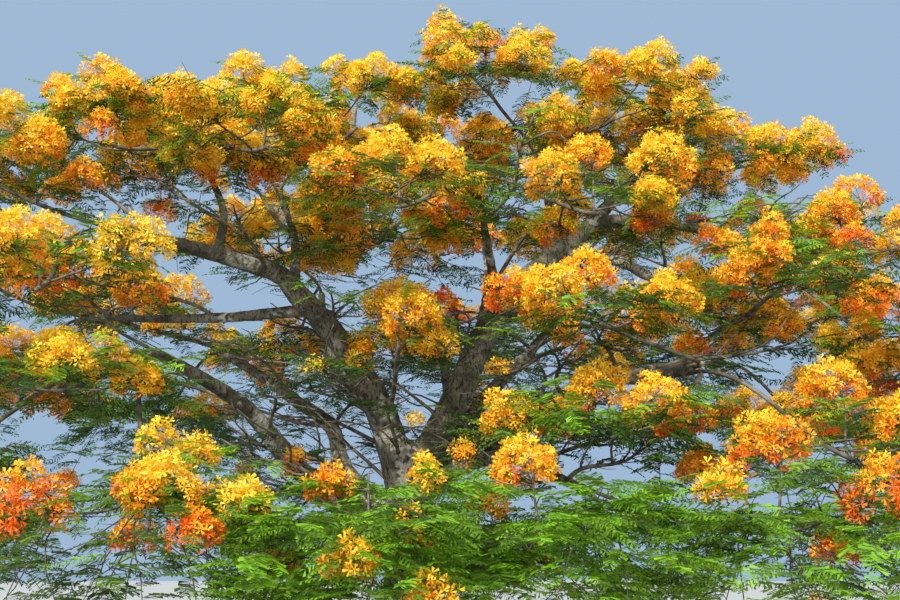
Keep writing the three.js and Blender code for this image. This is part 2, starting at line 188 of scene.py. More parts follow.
air = bpy.data.worlds.new("air")
air.use_nodes = True
air.node_tree.nodes["Background"].inputs["Color"].default_value = AIR_COLOUR
air.node_tree.nodes["Background"].inputs["Strength"].default_value = AIR_STRENGTH
bpy.context.scene.world = air
bpy.context.scene.view_settings.view_transform = "Standard"


# Trunk and boughs. Grey wood that forks low and snakes out in long limbs, each grown from the trunk or from
# another. The limbs are drawn as rings along curves, fused where they part, and given old wood's swellings.
FORK_HEIGHT = 2.9
BELOW_GROUND = 0.02
TRUNK_LEAN = -0.06
TRUNK_BENDS = (0.3, 0.65)
TRUNK_RADII = (0.35, 0.235)
FLARE_REACH = 0.21
FLARE_HEIGHT = 0.33
FLARE_LOBES = 6
LOBE_SHARE = 0.45
JOINT_GAP = 0.0003
CARRY_ON = 0.14
COLLAR = 0.22
COLLAR_FADE = 2

# Each bough: what it grows from and how far along that, its radii at the base and the tip, its legs as
# bearing, rise and length, and for each of its masses the bearing, rise and reach from its tip, then the
# mass's share of the usual spread and depth, and of its twigs that are in flower.
BOUGHS = {
    "left_main": (("trunk", 0.86), (0.195, 0.13), [(200, 70, 1.2), (210, 50, 1.2), (205, 45, 0.55)], []),
    "right_main": (("trunk", 0.86), (0.205, 0.135),
                   [(15, 60, 1.35), (30, 65, 0.9), (25, 55, 0.85), (20, 40, 0.95)], []),
    "left_upper": (("left_main", 1), (0.122, 0.06), [(210, 10, 1.15), (215, 5, 0.9)],
                   [(197, 27, 1.8, 1, 1, 1), (260, -25, 1.9, 0.9, 1, 0.9)]),
    "left_branch": (("left_main", 0.86), (0.078, 0.042), [(160, 0, 1.45), (155, 5, 2.0)],
                    [(215, 23, 1.84, 1, 1, 1), (145, -20, 1.75, 1, 1, 0.85)]),
    "left_riser": (("left_upper", 0.45), (0.062, 0.036), [(90, 75, 0.6), (145, 65, 0.75)],
                   [(205, 16, 1.18, 1, 1, 1), (313, 6, 1.3, 1, 1, 1)]),
    "left_top": (("left_main", 0.97), (0.072, 0.04), [(100, 50, 1.05), (115, 50, 1.05)],
                 [(342, 45, 1.56, 1, 1, 1), (163, 51, 1.49, 1, 1, 1)]),
    "low_left": (("trunk", 0.6), (0.16, 0.066),
                 [(210, 35, 1.1), (215, 30, 0.7), (225, 40, 0.95), (235, 20, 1.15)],
                 [(278, -35, 2.7, 1, 1, 0.85), (240, -8, 1.7, 1, 1, 1), (195, -20, 2.9, 1, 1, 0.8)]),
    "low_left_back": (("trunk", 0.68), (0.13, 0.055),
                      [(145, 40, 1.3), (125, 55, 0.75), (140, 30, 0.75), (135, 25, 1.95)],
                      [(190, 25, 1.85, 1, 1, 1), (135, -20, 1.95, 1, 1, 0.6)]),
    "right_upper": (("right_main", 1), (0.122, 0.048), [(20, 45, 0.95), (50, 40, 0.95)],
                    [(150, 55, 0.95, 1, 1, 1), (346, 7, 1.35, 1, 1, 1)]),
    "right_outer": (("right_upper", 0.3), (0.088, 0.046),
                    [(330, -10, 0.95), (325, -20, 1.05), (325, -40, 0.95)],
                    [(25, 31, 1.53, 1, 1, 1), (315, -35, 1.8, 1, 1, 0.9)]),
    "right_droop": (("right_main", 0.95), (0.088, 0.046),
                    [(355, -5, 0.8), (315, -30, 0.65), (310, -35, 1.05)], [(285, 5, 1.75, 1, 1, 0.85)]),
    "centre_riser": (("right_main", 0.92), (0.09, 0.044), [(70, 80, 0.8), (130, 75, 0.65)],
                     [(231, 41, 1.57, 1.1, 1, 1), (315, 26, 1.44, 1, 1, 1)]),
    "inner_riser": (("right_main", 0.5), (0.085, 0.042), [(65, 70, 1.25), (130, 75, 1.35)],
                    [(225, -28, 2.1, 1, 1, 1), (110, 35, 1.5, 1, 1, 1)]),
    "front_crown": (("right_main", 0.68), (0.075, 0.04), [(255, 40, 1.0), (260, 35, 0.85)],
                    [(230, -10, 1.5, 1, 1, 1), (325, -10, 1.65, 1, 1, 1)]),
    "low_right": (("trunk", 0.76), (0.112, 0.05),
                  [(325, 35, 0.85), (320, 10, 0.75), (305, -15, 0.75), (295, -15, 1.0)],
                  [(253, -8, 2.34, 1.15, 1, 0.15), (305, -5, 2.6, 1, 1, 0.5)]),
    "low_front": (("trunk", 0.53), (0.085, 0.042), [(255, 15, 1.55), (260, 15, 1.55)],
                  [(288, -13, 1.78, 1.15, 1, 0.15)]),
    "front_right": (("trunk", 0.79), (0.112, 0.052), [(335, 30, 1.7), (320, 20, 1.4), (310, 0, 1.2)],
                    [(325, -25, 1.8, 1, 1, 0.9), (205, 30, 1.3, 0.7, 0.8, 0.9),
                     (215, -25, 1.3, 0.9, 0.9, 0.75)]),
    "right_low": (("trunk", 0.84), (0.112, 0.05), [(25, 35, 1.9), (20, 20, 1.75), (20, 10, 1.45)],
                  [(20, 35, 1.45, 1, 1, 1), (5, -30, 1.6, 1, 1, 0.9)]),
    "back_right": (("trunk", 0.8), (0.14, 0.055), [(55, 40, 2.0), (55, 35, 2.15), (50, 40, 1.0)],
                   [(35, 75, 1.25, 1, 1, 1), (30, -20, 1.8, 1, 1, 0.65)]),
    "back_left": (("trunk", 0.72), (0.14, 0.055), [(110, 45, 2.05), (120, 40, 2.2), (105, 55, 0.9)],
                  [(190, 55, 1.2, 1, 1, 1), (115, -20, 1.85, 1, 1, 0.65)]),
    "back_centre": (("back_right", 0.26), (0.086, 0.045), [(95, 50, 2.05), (85, 30, 1.55)],
                    [(85, -10, 1.65, 1, 1, 0.65)]),
}

UP = Vector((0, 0, 1))


def mix(low, high, share):
    return low + (high - low) * share


def stride(bearing, rise, length):
    """The step that a leg makes, from its bearing and rise in degrees and its length."""
    bearing, rise = math.radians(bearing), math.radians(rise)
    level = math.cos(rise)
    return length * Vector((level * math.cos(bearing), level * math.sin(bearing), math.sin(rise)))


class Path:
    """A curve that is walked by the share of its length, made from a function of its own parameter."""

    STOPS = 200
    STEP = 1e-4

    def __init__(self, place):
        self.place = place
        stops = [place(i / self.STOPS) for i in range(self.STOPS + 1)]
        self.walked = np.cumsum([0.0] + [(b - a).length for a, b in zip(stops, stops[1:])])
        self.length = float(self.walked[-1])

    def parameter(self, share):
        return float(np.interp(share * self.length, self.walked, np.linspace(0, 1, self.STOPS + 1)))

    def at(self, share):
        return self.place(self.parameter(share))

    def way(self, share):
        """The direction in which the curve runs there."""
        middle = self.parameter(share)
        before, after = max(middle - self.STEP, 0), min(middle + self.STEP, 1)
        return (self.place(after) - self.place(before)).normalized()


def bent_between(a, b, c, d):
    """The path from a to d that sets off towards b and comes in from c."""
    def place(t):
        s = 1 - t
        return s**3 * a + 3 * s * s * t * b + 3 * s * t * t * c + t**3 * d
    return Path(place)


def through(points):
    """The path that bends smoothly through points, with no loop at a sharp turn."""
    run = [2 * points[0] - points[1], *points, 2 * points[-1] - points[-2]]
    spans = [(b - a).length ** 0.5 for a, b in zip(run, run[1:])]

    def place(t):
        k = min(int(t * (len(points) - 1)), len(points) - 2)
        s = t * (len(points) - 1) - k
        a, b, c, d = run[k:k + 4]
        before, span, after = spans[k:k + 3]
        leave = ((b - a) / before - (c - a) / (before + span) + (c - b) / span) * span
        come = ((c - b) / span - (d - b) / (span + after) + (d - c) / after) * span
        bow = 3 * (c - b) - 2 * leave - come
        swerve = 2 * (b - c) + leave + come
        return b + s * leave + s * s * bow + s**3 * swerve
    return Path(place)


def trunk_radius(along, angle):
    """The trunk's radius at an angle round it, with the lobes of its root flare."""
    flare = FLARE_REACH * (1 - LOBE_SHARE * math.cos(FLARE_LOBES * angle))
    return mix(*TRUNK_RADII, math.sqrt(along)) + flare * math.exp(-along * FORK_HEIGHT / FLARE_HEIGHT)


def bough_radius(base, tip, length, collar):
    """A bough's radius, as a function of the way along it: a taper, swollen at the foot by a collar."""
    def radius(along, angle=0):
        return mix(base, tip, along) * (1 + collar * math.exp(-along * length / (COLLAR_FADE * base)))
    return radius


trunk_path = bent_between(
    Vector((0, 0, -BELOW_GROUND)),
    Vector((0, 0, TRUNK_BENDS[0] * FORK_HEIGHT)),
    Vector((0.5 * TRUNK_LEAN, 0, TRUNK_BENDS[1] * FORK_HEIGHT)),
    Vector((TRUNK_LEAN, 0, FORK_HEIGHT)),
)
paths, radii = {"trunk": trunk_path}, {"trunk": trunk_radius}
for name, ((parent, share), (base, tip), legs, _) in BOUGHS.items():
    joints = [paths[parent].at(share)]
    if share == 1:
        joints.append(joints[0] + CARRY_ON * paths[parent].way(1))
    for leg in legs:
        joints.append(joints[-1] + stride(*leg))
    paths[name] = through(joints)
    radii[name] = bough_radius(base, tip, paths[name].length, 0 if share == 1 else COLLAR)

# A limb's rings and the relief of its wood, in metres or as shares of the limb's own radius
RING_STEP = 0.09
LIMB_SIDES = 16
WANDER = 0.045
WANDER_LUMPS = 0.8
NOSE = [(0.5, 0.82), (0.85, 0.45)]
FUSE_CELL = 0.0255
SMOOTHINGS = 2
SWELLING = 0.12
SWELLING_LUMPS = 0.42
RIDGE = 0.05
RIDGE_LUMPS = 1.5
STATIONS = 60


def ring_frames(path, count, wander):
    """Each station of a path, with two directions across it that don't twist."""
    across = Vector((1, 0, 0))
    for k in range(count + 1):
        along = k / count
        way, centre = path.way(along), path.at(along)
        across = (across - across.dot(way) * way).normalized()
        drift = wander * math.sin(math.pi * along) * noise.noise_vector(WANDER_LUMPS * centre)
        yield centre + drift, across, way.cross(across)


def edges_among(corners):
    """The edges that join these corners, in a steady order."""
    those = set(corners)
    return list(dict.fromkeys(edge for corner in corners for edge in corner.link_edges
                              if edge.other_vert(corner) in those))


def everything(shape):
    return shape.verts[:] + shape.edges[:] + shape.faces[:]


def grow_limb(shape, path, radius_at, wander):
    """A closed tube along a path: one ring drawn on after another, ending in a blunt nose."""
    count = math.ceil(path.length / RING_STEP)
    stations = [(*frame_at, k / count, 1) for k, frame_at in enumerate(ring_frames(path, count, wander))]
    end, across, over, _, _ = stations[-1]
    nose = radius_at(1, 0)
    stations += [(end + path.way(1) * nose * past, across, over, 1, size) for past, size in NOSE]
    ring = bmesh.ops.create_circle(shape, cap_ends=True, radius=1, segments=LIMB_SIDES)["verts"]
    angles = [math.atan2(corner.co.y, corner.co.x) for corner in ring]
    for k, (centre, across, over, along, size) in enumerate(stations):
        if k:
            drawn = bmesh.ops.extrude_edge_only(shape, edges=edges_among(ring))["geom"]
            fresh = {corner for corner in drawn if isinstance(corner, bmesh.types.BMVert)}
            ring = [next(edge.other_vert(old) for edge in old.link_edges if edge.other_vert(old) in fresh)
                    for old in ring]
        for corner, angle in zip(ring, angles):
            spoke = math.cos(angle) * across + math.sin(angle) * over
            corner.co = centre + size * radius_at(along, angle) * spoke
    bmesh.ops.contextual_create(shape, geom=ring)


wood_shape = bmesh.new()
for name, path in paths.items():
    grow_limb(wood_shape, path, radii[name], 0 if name == "trunk" else WANDER)
bmesh.ops.recalc_face_normals(wood_shape, faces=wood_shape.faces[:])
wood_mesh = bpy.data.meshes.new("trunk_and_boughs")
wood_shape.to_mesh(wood_mesh)
wood_shape.free()

bark = Finish("grey bark", roughness=0.85)
trunk_and_boughs = new_piece("trunk_and_boughs", wood_mesh, bark)
fuse = trunk_and_boughs.modifiers.new("fuse", "REMESH")
fuse.mode = "VOXEL"
fuse.voxel_size = FUSE_CELL
bpy.context.view_layer.update()
evaluated = trunk_and_boughs.evaluated_get(bpy.context.evaluated_depsgraph_get())
fused = bpy.data.meshes.new_from_object(evaluated)
trunk_and_boughs.modifiers.clear()

stations = [(path.at(k / STATIONS), radii[name](k / STATIONS, 0))
            for name, path in paths.items() for k in range(STATIONS + 1)]
nearest = kdtree.KDTree(len(stations))
for k, (centre, _) in enumerate(stations):
    nearest.insert(centre, k)
nearest.balance()

wood_shape = bmesh.new()
wood_shape.from_mesh(fused)
for _ in range(SMOOTHINGS):
    bmesh.ops.smooth_vert(wood_shape, verts=wood_shape.verts[:], factor=0.5,
                          use_axis_x=True, use_axis_y=True, use_axis_z=True)
wood_shape.normal_update()
for corner in wood_shape.verts:
    thick = stations[nearest.find(corner.co)[1]][1]
    swelling = SWELLING * noise.noise(corner.co * SWELLING_LUMPS / thick)
    ridge = RIDGE * (1 - 2 * abs(noise.noise(corner.co * RIDGE_LUMPS / thick)))
    corner.co += corner.normal * thick * (swelling + ridge)
bmesh.ops.bisect_plane(wood_shape, geom=everything(wood_shape), plane_co=(0, 0, 0), plane_no=(0, 0, -1),
                       clear_outer=True)
bmesh.ops.holes_fill(wood_shape, edges=[edge for edge in wood_shape.edges if edge.is_boundary])
for face in wood_shape.faces:
    face.smooth = True
wood_shape.to_mesh(fused)
wood_shape.free()
fused.materials.clear()
fused.materials.append(bark.material)
trunk_and_boughs.data = fused

BARK_BROWN = (0.048, 0.044, 0.027, 1)
BARK_GREY = (0.165, 0.148, 0.105, 1)
BARK_DARK = (0.013, 0.012, 0.008, 1)
LICHEN = (0.52, 0.50, 0.44, 1)
# Lumps a metre of the bark's tones, pores, patches of lichen, specks in them and relief, and how deep that is
TONE_LUMPS = 3.1
PORE_LUMPS = 34
PORE_STRETCH = (1, 1, 0.45)
PATCH_LUMPS = 1.9
SPECK_LUMPS = 14
RELIEF_LUMPS = 30
RELIEF_DEPTH = 0.02

bark_tone = bark.blend(bark.grain(TONE_LUMPS, 5).over(0.38, 0.62), BARK_BROWN, BARK_GREY)
pores = bark.grain(PORE_LUMPS, 4, bark.stretched(PORE_STRETCH))
bark_tone = bark.blend(pores.over(0.49, 0.63) * 0.85, bark_tone, BARK_DARK)
patches = bark.grain(PATCH_LUMPS, 3, distortion=0.6).over(0.53, 0.62)
specks = bark.grain(SPECK_LUMPS, 4).over(0.40, 0.56)
bark_tone = bark.blend(patches * specks * 0.65, bark_tone, LICHEN)
bark.feed(bark.shader.inputs["Base Color"], bark_tone)
bark.feed(bark.shader.inputs["Roughness"], 0.78 + 0.16 * pores)
bark.raised(bark.grain(RELIEF_LUMPS, 5) + 0.8 * pores, RELIEF_DEPTH)

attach(trunk_and_boughs, "root")
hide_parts(*[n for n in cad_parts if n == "trunk" or n.startswith("bough_")])


# Twigs. Each mass of the crown has one stem that bends up from its bough, a twig to its top and up to three
# that fork. They are living wood, and are grown here by the same rule as the solids.
SPREAD = 1.23
DEPTH = 0.64
BLOSSOM_RADIUS = 0.47
BLOSSOM_HEIGHT = 0.235
BLOSSOM_LEAN = 0.28
BLOSSOM_SEAT = 0.42
STEM_TIP = 0.026
STEM_SUNK = 0.05
STEM_STATIONS = 12
TWIG_BASE = 0.014
FORK_BASE = 0.010
TWIG_TIP = 0.009
CELL_MARGIN = 0.008
WOOD_MARGIN = 0.012
GROUND_CLEARANCE = 0.6
FIRST_SEED = 101
SEEDS_A_BOUGH = 7
FORK_MASS = {"name": "crown_fork", "seed": 97, "middle": Vector((-0.1, -1.15, 4.3)), "spread": 0.62 * SPREAD,
             "depth": 0.8 * DEPTH, "bloom": 1, "limbs": 1, "radius": 0.038}
FORK_MASS_SEAT = ("left_main", 0.3)
FORK_STEM_WAY = Vector((0.3, -0.8, 0.5)).normalized()

# How a mass's stem leaves its bough: as shares of the bough's tip radius, then of the stem's own reach
SEAT_OUT = 0.53
SEAT_RADIUS = 0.42
LONE_SEAT_RADIUS = 0.78
STEM_CARRY = 0.4
STEM_TURN = 0.35
STEM_SAG = 0.06

# The growing rule: shares of a mass's spread and depth, shares of the way along a stem or twig, and radians
STEM_FOOT_DROP = 0.4
TOP_START = 0.97
TOP_OUT = (0, 0.15)
TOP_UP = (0.6, 0.75)
TWIG_STARTS = (0.76, 0.94)
TWIG_OUT = (0.76, 0.86)
TWIG_UP = (-0.25, 0.15)
TWIG_SWAY = (-0.15, 0.15)
FORK_START = 0.35
FORK_SWAY = (-0.12, 0.12)
TWIG_TRIES = (1, 0.8, 0.6)
HEAD_SIZES = (0.85, 1.15)
SHORT_TWIG_HEAD = 0.5
HEAD_CLEAR = 0.8
FROND_DRAWS = 4


def seeded(seed):
    """Numbers from 0 to 1 that are the same on every run, by the solids' own formula."""
    state = seed

    def draw():
        nonlocal state
        state = (state * 1664525 + 1013904223) % 2**32
        return state / 2**32
    return draw


def stem_seats(bough, middles):
    """Where the stems of one bough's masses leave its end: side by side, each turned towards its own mass."""
    way = paths[bough].way(1)
    end = paths[bough].at(1) + JOINT_GAP * way
    tip = radii[bough](1)
    if len(middles) == 1:
        return [(end, way, LONE_SEAT_RADIUS * tip)]
    side = way.cross(UP).normalized()
    over = side.cross(way)
    angles = [math.atan2((middle - end).dot(over), (middle - end).dot(side)) for middle in middles]
    order = sorted(range(len(middles)), key=lambda i: angles[i])
    gap = 2 * math.pi / len(middles)
    sine = sum(math.sin(angles[i] - place * gap) for place, i in enumerate(order))
    cosine = sum(math.cos(angles[i] - place * gap) for place, i in enumerate(order))
    turn = math.atan2(sine, cosine)
    seats = []
    for i in range(len(middles)):
        angle = turn + order.index(i) * gap
        offset = SEAT_OUT * tip * (math.cos(angle) * side + math.sin(angle) * over)
        seats.append((end + offset, way, SEAT_RADIUS * tip))
    return seats


def stem_path(mass, seat, way):
    """The stem bends from the bough's own direction up into the middle of its mass."""
    foot = mass["middle"] - STEM_FOOT_DROP * mass["depth"] * UP
    reach = (foot - seat).length
    turn = foot.lerp(seat, STEM_TURN) - STEM_SAG * reach * UP
    return bent_between(seat, seat + STEM_CARRY * reach * way, turn, foot)


masses = []
for place, (name, (_, _, _, own)) in enumerate(BOUGHS.items()):
    tip = paths[name].at(1)
    middles = [tip + stride(*mass[:3]) for mass in own]
    for i, (seat, way, radius) in enumerate(stem_seats(name, middles) if own else []):
        spread, depth, bloom = own[i][3:]
        mass = {"name": f"crown_{name}_{'abc'[i]}", "seed": FIRST_SEED + place * SEEDS_A_BOUGH + i,
                "middle": middles[i], "spread": spread * SPREAD, "depth": depth * DEPTH, "bloom": bloom,
                "limbs": 3, "radius": radius}
        masses.append({**mass, "stem": stem_path(mass, seat, way)})
parent, share = FORK_MASS_SEAT
masses.append({**FORK_MASS, "stem": stem_path(FORK_MASS, paths[parent].at(share), FORK_STEM_WAY)})

# Every stretch of wood as balls, so that what would touch a limb or another mass's stem is left out
wood_at = [(centre, radius, "") for centre, radius in stations]
for mass in masses:
    for k in range(STEM_STATIONS + 1):
        along = k / STEM_STATIONS
        wood_at.append((mass["stem"].at(along), mix(mass["radius"], STEM_TIP, along), mass["name"]))
ball_centres = np.array([centre for centre, _, _ in wood_at])
ball_radii = np.array([radius for _, radius, _ in wood_at])
ball_owners = np.array([owner for _, _, owner in wood_at])
for mass in masses:
    others = np.array([other["middle"] for other in masses if other is not mass])
    steps = others - np.array(mass["middle"])
    gaps = np.linalg.norm(steps, axis=1)
    mass["ways"], mass["halves"] = steps / gaps[:, None], gaps / 2 - CELL_MARGIN
    mass["not_own"] = ball_owners != mass["name"]


def in_own_space(mass, centre, flat=0.0, tall=0.0, past=0.0):
    """Whether a flattened ball keeps to its mass's own space, halfway to the others or a little past."""
    if centre.z - tall < GROUND_CLEARANCE:
        return False
    support = np.linalg.norm(mass["ways"] * (flat, flat, tall), axis=1) - past
    return bool(np.all(mass["ways"] @ np.array(centre - mass["middle"]) + support < mass["halves"]))


def clear_of_wood(mass, centre, flat, tall):
    """Whether a flattened ball keeps off the limbs and the other masses' stems."""
    reach = ball_radii[mass["not_own"], None] + WOOD_MARGIN + (flat, flat, tall)
    apart = (ball_centres[mass["not_own"]] - np.array(centre)) / reach
    return bool(np.all(np.linalg.norm(apart, axis=1) > 1))


def within(mass, bearing, out, up):
    """A place at a bearing from a mass's middle, out by a share of its spread and up by one of its depth."""
    reach = out * mass["spread"]
    return mass["middle"] + Vector((reach * math.cos(bearing), reach * math.sin(bearing), up * mass["depth"]))


def flat_way(bearing):
    return Vector((math.cos(bearing), math.sin(bearing), 0))


def grow_mass(mass):
    """The twigs of one mass that bear something, by the same draws in the same order as the solid's."""
    rand = seeded(mass["seed"])
    twigs = []

    def between(low, high):
        return mix(low, high, rand())

    def grow_twig(kind, start, aim, bearing):
        flowering = rand() < mass["bloom"]
        full_size, turn = between(*HEAD_SIZES), between(0, math.pi)
        for _ in range(FROND_DRAWS):
            rand()
        for share in TWIG_TRIES:
            end = start.lerp(aim, share)
            size = full_size * mix(SHORT_TWIG_HEAD, 1, share)
            lean = BLOSSOM_LEAN * BLOSSOM_RADIUS * flat_way(bearing)
            middle = end + BLOSSOM_HEIGHT * size * BLOSSOM_SEAT * UP + lean
            bearer, flat, tall = end, TWIG_TIP, TWIG_TIP
            if flowering:
                bearer, flat, tall = middle, BLOSSOM_RADIUS * size, BLOSSOM_HEIGHT * size
            clearance = HEAD_CLEAR * flat, HEAD_CLEAR * tall
            if in_own_space(mass, bearer, flat, tall) and clear_of_wood(mass, bearer, *clearance):
                twigs.append({"kind": kind, "start": start, "end": end, "middle": middle, "bearing": bearing,
                              "size": size, "turn": turn, "flowering": flowering})
                return twigs[-1]
        return None

    phase = between(0, 2 * math.pi)
    top = within(mass, phase, between(*TOP_OUT), between(*TOP_UP))
    grow_twig("twig", mass["stem"].at(TOP_START), top, phase)
    for k in range(mass["limbs"]):
        bearing = phase + k * 2 * math.pi / mass["limbs"] + between(*TWIG_SWAY)
        aim = within(mass, bearing, between(*TWIG_OUT), between(*TWIG_UP))
        start = mass["stem"].at(mix(*TWIG_STARTS, k / mass["limbs"]))
        main = grow_twig("twig", start, aim, bearing)
        heading = bearing + math.pi / mass["limbs"] + between(*FORK_SWAY)
        fork = main["start"].lerp(main["end"], FORK_START) if main else start
        aim = within(mass, heading, between(*TWIG_OUT), between(*TWIG_UP))
        grow_twig("fork", fork, aim, heading)
    return twigs


# Shoots. Boughs and twigs go on in thin side limbs, shoots, bare twigs and flower stalks, all of young wood.
# Each is a run of points that sways, drawn as a closed tube. The places of the racemes and fronds that they
# bear are found along with them.
TUBES = {"stem": (13, 7), "twig": (8, 5), "shoot": (5, 3), "branchlet": (3, 3)}
TWIG_SWOLLEN = 1.15
CURL = 0.6
# Each kind of growth: which of those tubes it is, by rings and sides, its radii from foot to tip, and how far
# it bows upwards and sways, as shares of its length
GROWTHS = {
    "twig": ("twig", (TWIG_SWOLLEN * TWIG_BASE, TWIG_TIP), -0.05, 0.035),
    "fork": ("twig", (TWIG_SWOLLEN * FORK_BASE, TWIG_TIP), -0.05, 0.035),
    "side_limb": ("stem", (0.030, 0.010), 0.04, 0.09),
    "side_fork": ("twig", (0.015, 0.006), 0.05, 0.13),
    "side_shoot": ("shoot", (0.007, 0.0035), 0.05, 0.08),
    "fill_shoot": ("shoot", (0.0095, 0.0045), 0.06, 0.09),
    "stalk": ("branchlet", (0.007, 0.0035), 0.04, 0.05),
    "bare_twig": ("branchlet", (0.0055, 0.0025), 0.03, 0.14),
}
GOLDEN_ANGLE = math.radians(137.5)
OVERHANG = 0.2
END_ROOM = 0.1

# The tint of a head counts up from yellow to deep orange: its usual value, and what it gains to the right and
# higher up by the metre, by chance, and from the top to the foot of the head. The yellower heads high in the
# crown and the deeper feet of each head are painted sunlight and shade.
MID_CROWN = 5.5
TINT_USUAL = 0.75
TINT_RIGHT = 0.04
TINT_HIGH_PAINTED_LIGHT = -0.28
TINT_CHANCE = 0.85
RACEME_TINT_CHANCE = 0.4
FOOT_PAINTED_SHADE = 3.0

# A head of racemes over the end of a twig
RACEME_RADIUS = 0.108
RACEMES_A_HEAD = 10
RACEME_SIZES = (0.8, 1.2)
RACEME_LIFT = 0.5
HEAD_WRAP = (8, 116)
HEAD_CROWDING = 0.62
HEAD_STRAY = 0.3
HEAD_FLAT = 0.58
HEAD_FLAT_CHANCE = (0.85, 1.05)
HEAD_TALL = 0.95
HEAD_TALL_CHANCE = (0.85, 1.1)
HEAD_SINK = 0.07
STALK_SEATS = (0.72, 0.98)
STALK_ENDS_SHORT = 0.05

# A bunch of a few racemes at the end of a shoot
BUNCH_TOP = 0.07
BUNCH_OUT = 1.05
BUNCH_DOWN = 0.25
BUNCH_SIZES = (0.8, 1.15)
# The top raceme of a bunch is lighter and the others deeper: painted light and shade.
BUNCH_PAINTED_SHADE = 0.2 * FOOT_PAINTED_SHADE

# Fronds in a fan on both sides of a shoot. Their tint counts up from painted sunlight to painted shade, the
# darkest low down in its mass.
FRONDS_A_HEAD = 6
FRONDS_A_SHOOT = 3
FRONDS_A_LEAFY_TWIG = 20
FROND_REACH = (0.42, 0.6)
FROND_RISES = (-0.25, 0.35)
FROND_TRIES = (1, 0.75, 0.55)
FROND_PAST = 0.25
FAN_SPLAY = (1.5, 0.35)
FAN_STRAY = 0.3
FAN_LENGTHS = (1.05, 0.85)
PAST_TWIG = 0.12
LEAFY_BLOOM = 0.5
LEAFY_SHADE = 0.5
MIDDLE_SHADE = 1.0
SHADE_A_DEPTH = 0.9
SHADE_CHANCE = 0.65
DARKEST_SHADE = 2

# Side shoots of a twig or side limb, and how many of them flower at a height and by the metre above it
SHOOT_SEATS = (0.5, 0.75)
SHOOT_SPLAY = (0.8, 1.3)
SHOOT_LENGTH = (0.32, 0.52)
SHOOT_RISES = (-0.1, 0.5)
SHOOTS_IN_FLOWER = 0.22
SHOOTS_IN_FLOWER_HIGH = 0.08
SHOOT_FLOWER_HEIGHT = 5
SHOOT_BUNCH = (1, 3)
SHOOT_DEEPER = 0.3
BARE_TWIG_SEATS = (0.2, 0.9)
BARE_TWIG_SPLAY = 1.6
BARE_TWIG_RISES = (-0.5, 0.9)
BARE_TWIG_LENGTH = (0.18, 0.42)

# Shoots that fill a mass, in shares of its spread and depth
FILL_SHOOTS = 30
LEAFY_FILL_SHOOTS = 50
FILL_STEM_SEATS = (0.55, 0.7, 0.85, 1)
FILL_TWIG_SEATS = (0.2, 0.4, 0.6, 0.8)
FILL_REACH = (0.25, 1.3)
FILL_CROWDING = 0.6
FILL_STRAY = 0.4
FILL_HIGHEST = 0.95
FILL_LOWEST = -0.5
LEAFY_FILL_LOWEST = -1.5
SKIRT_HEIGHT = 3.0
FILL_ROUND = 0.6
FILL_TRIES = (1, 0.8, 0.6, 0.45)
FILL_ROOM = (0.14, 0.1)
SHORTEST_SHOOT = 0.22
FRONDS_A_FILL_SHOOT = 5
FRONDS_A_LEAFY_FILL = 19
FILL_BUNCH = (3, 5)
# Fill bunches are deeper low in their mass and lighter high up, as painted shade and light: how much, and
# where it turns.
FILL_PAINTED_SHADE = 0.8
FILL_PAINTED_SHADE_BELOW = 0.4
# A fill shoot's chance to flower: the usual one, what it gains up in its mass, higher in the crown and to the
# right, and the least that it is
FILL_IN_FLOWER = 0.34
FILL_IN_FLOWER_UP = 0.35
FILL_IN_FLOWER_HIGH = 0.16
FILL_IN_FLOWER_RIGHT = 0.02
LEAST_IN_FLOWER = 0.06
# The masses that are fuller or more open, or more or less in flower, than the rest: the share of the usual
# fill shoots, and what is added to each one's chance to flower
FILL_AS_SEEN = {
    "left_upper_a": (1.2, 0.35), "left_upper_b": (0.65, -0.8), "left_branch_a": (0.9, -0.3),
    "left_riser_a": (1.3, 0.5), "left_riser_b": (1.0, 0.35), "left_top_b": (1.0, 0.3),
    "low_left_a": (1.5, 0.6), "low_left_b": (1.15, 0.0), "low_left_c": (1.4, -0.25),
    "low_left_back_a": (0.8, -0.2), "right_upper_a": (1.0, 0.2), "right_upper_b": (1.15, 0.5),
    "right_outer_a": (0.75, 0.15), "right_outer_b": (1.25, 0.6), "right_droop_a": (0.7, 0.35),
    "right_low_a": (1.0, 0.8), "right_low_b": (0.9, 0.25), "centre_riser_b": (1.1, 0.3),
    "inner_riser_a": (1.15, 0.35), "front_crown_b": (0.4, -0.35), "low_right_b": (1.3, 0.05),
    "front_right_a": (1.1, 0.1), "front_right_b": (0.4, -0.15), "front_right_c": (0.75, -0.2),
    "back_right_a": (0.5, -0.3), "back_right_b": (0.45, -0.1), "back_left_a": (1.0, 0.25),
    "back_left_b": (0.75, 0.0), "back_centre_a": (0.6, 0.0), "fork": (0.9, 0.4),
}

# Thin side limbs of the boughs, and the rings of each from which bare twigs, shoots and forks grow
SIDE_LIMB_STEP = 0.4
SIDE_LIMB_STRAY = 0.04
SIDE_LIMB_SPLAY = (0.5, 1.3)
SIDE_LIMB_RISES = (0.0, 0.9)
SIDE_LIMB_LENGTH = (0.8, 1.7)
BARE_TWIG_RINGS = (4, 6, 9, 11)
SHOOT_RINGS = (5, 8, 10, 12)
SHOOT_STRAY = 1.2
FORK_RINGS = (3, 5, 7, 9)
FORK_SPLAY = (0.4, 1.0)
FORK_LENGTH = (0.5, 1.0)
FORK_RISES = (-0.2, 0.7)

chance = random.Random()
runs = {tube: [] for tube in TUBES}
racemes = []
fronds = []


def stray(most):
    """A little to one side or the other, by chance."""
    return chance.uniform(-most, most)


def side_of(number):
    """What grows in a row is on one side and the other by turns."""
    return 1 if number % 2 else -1


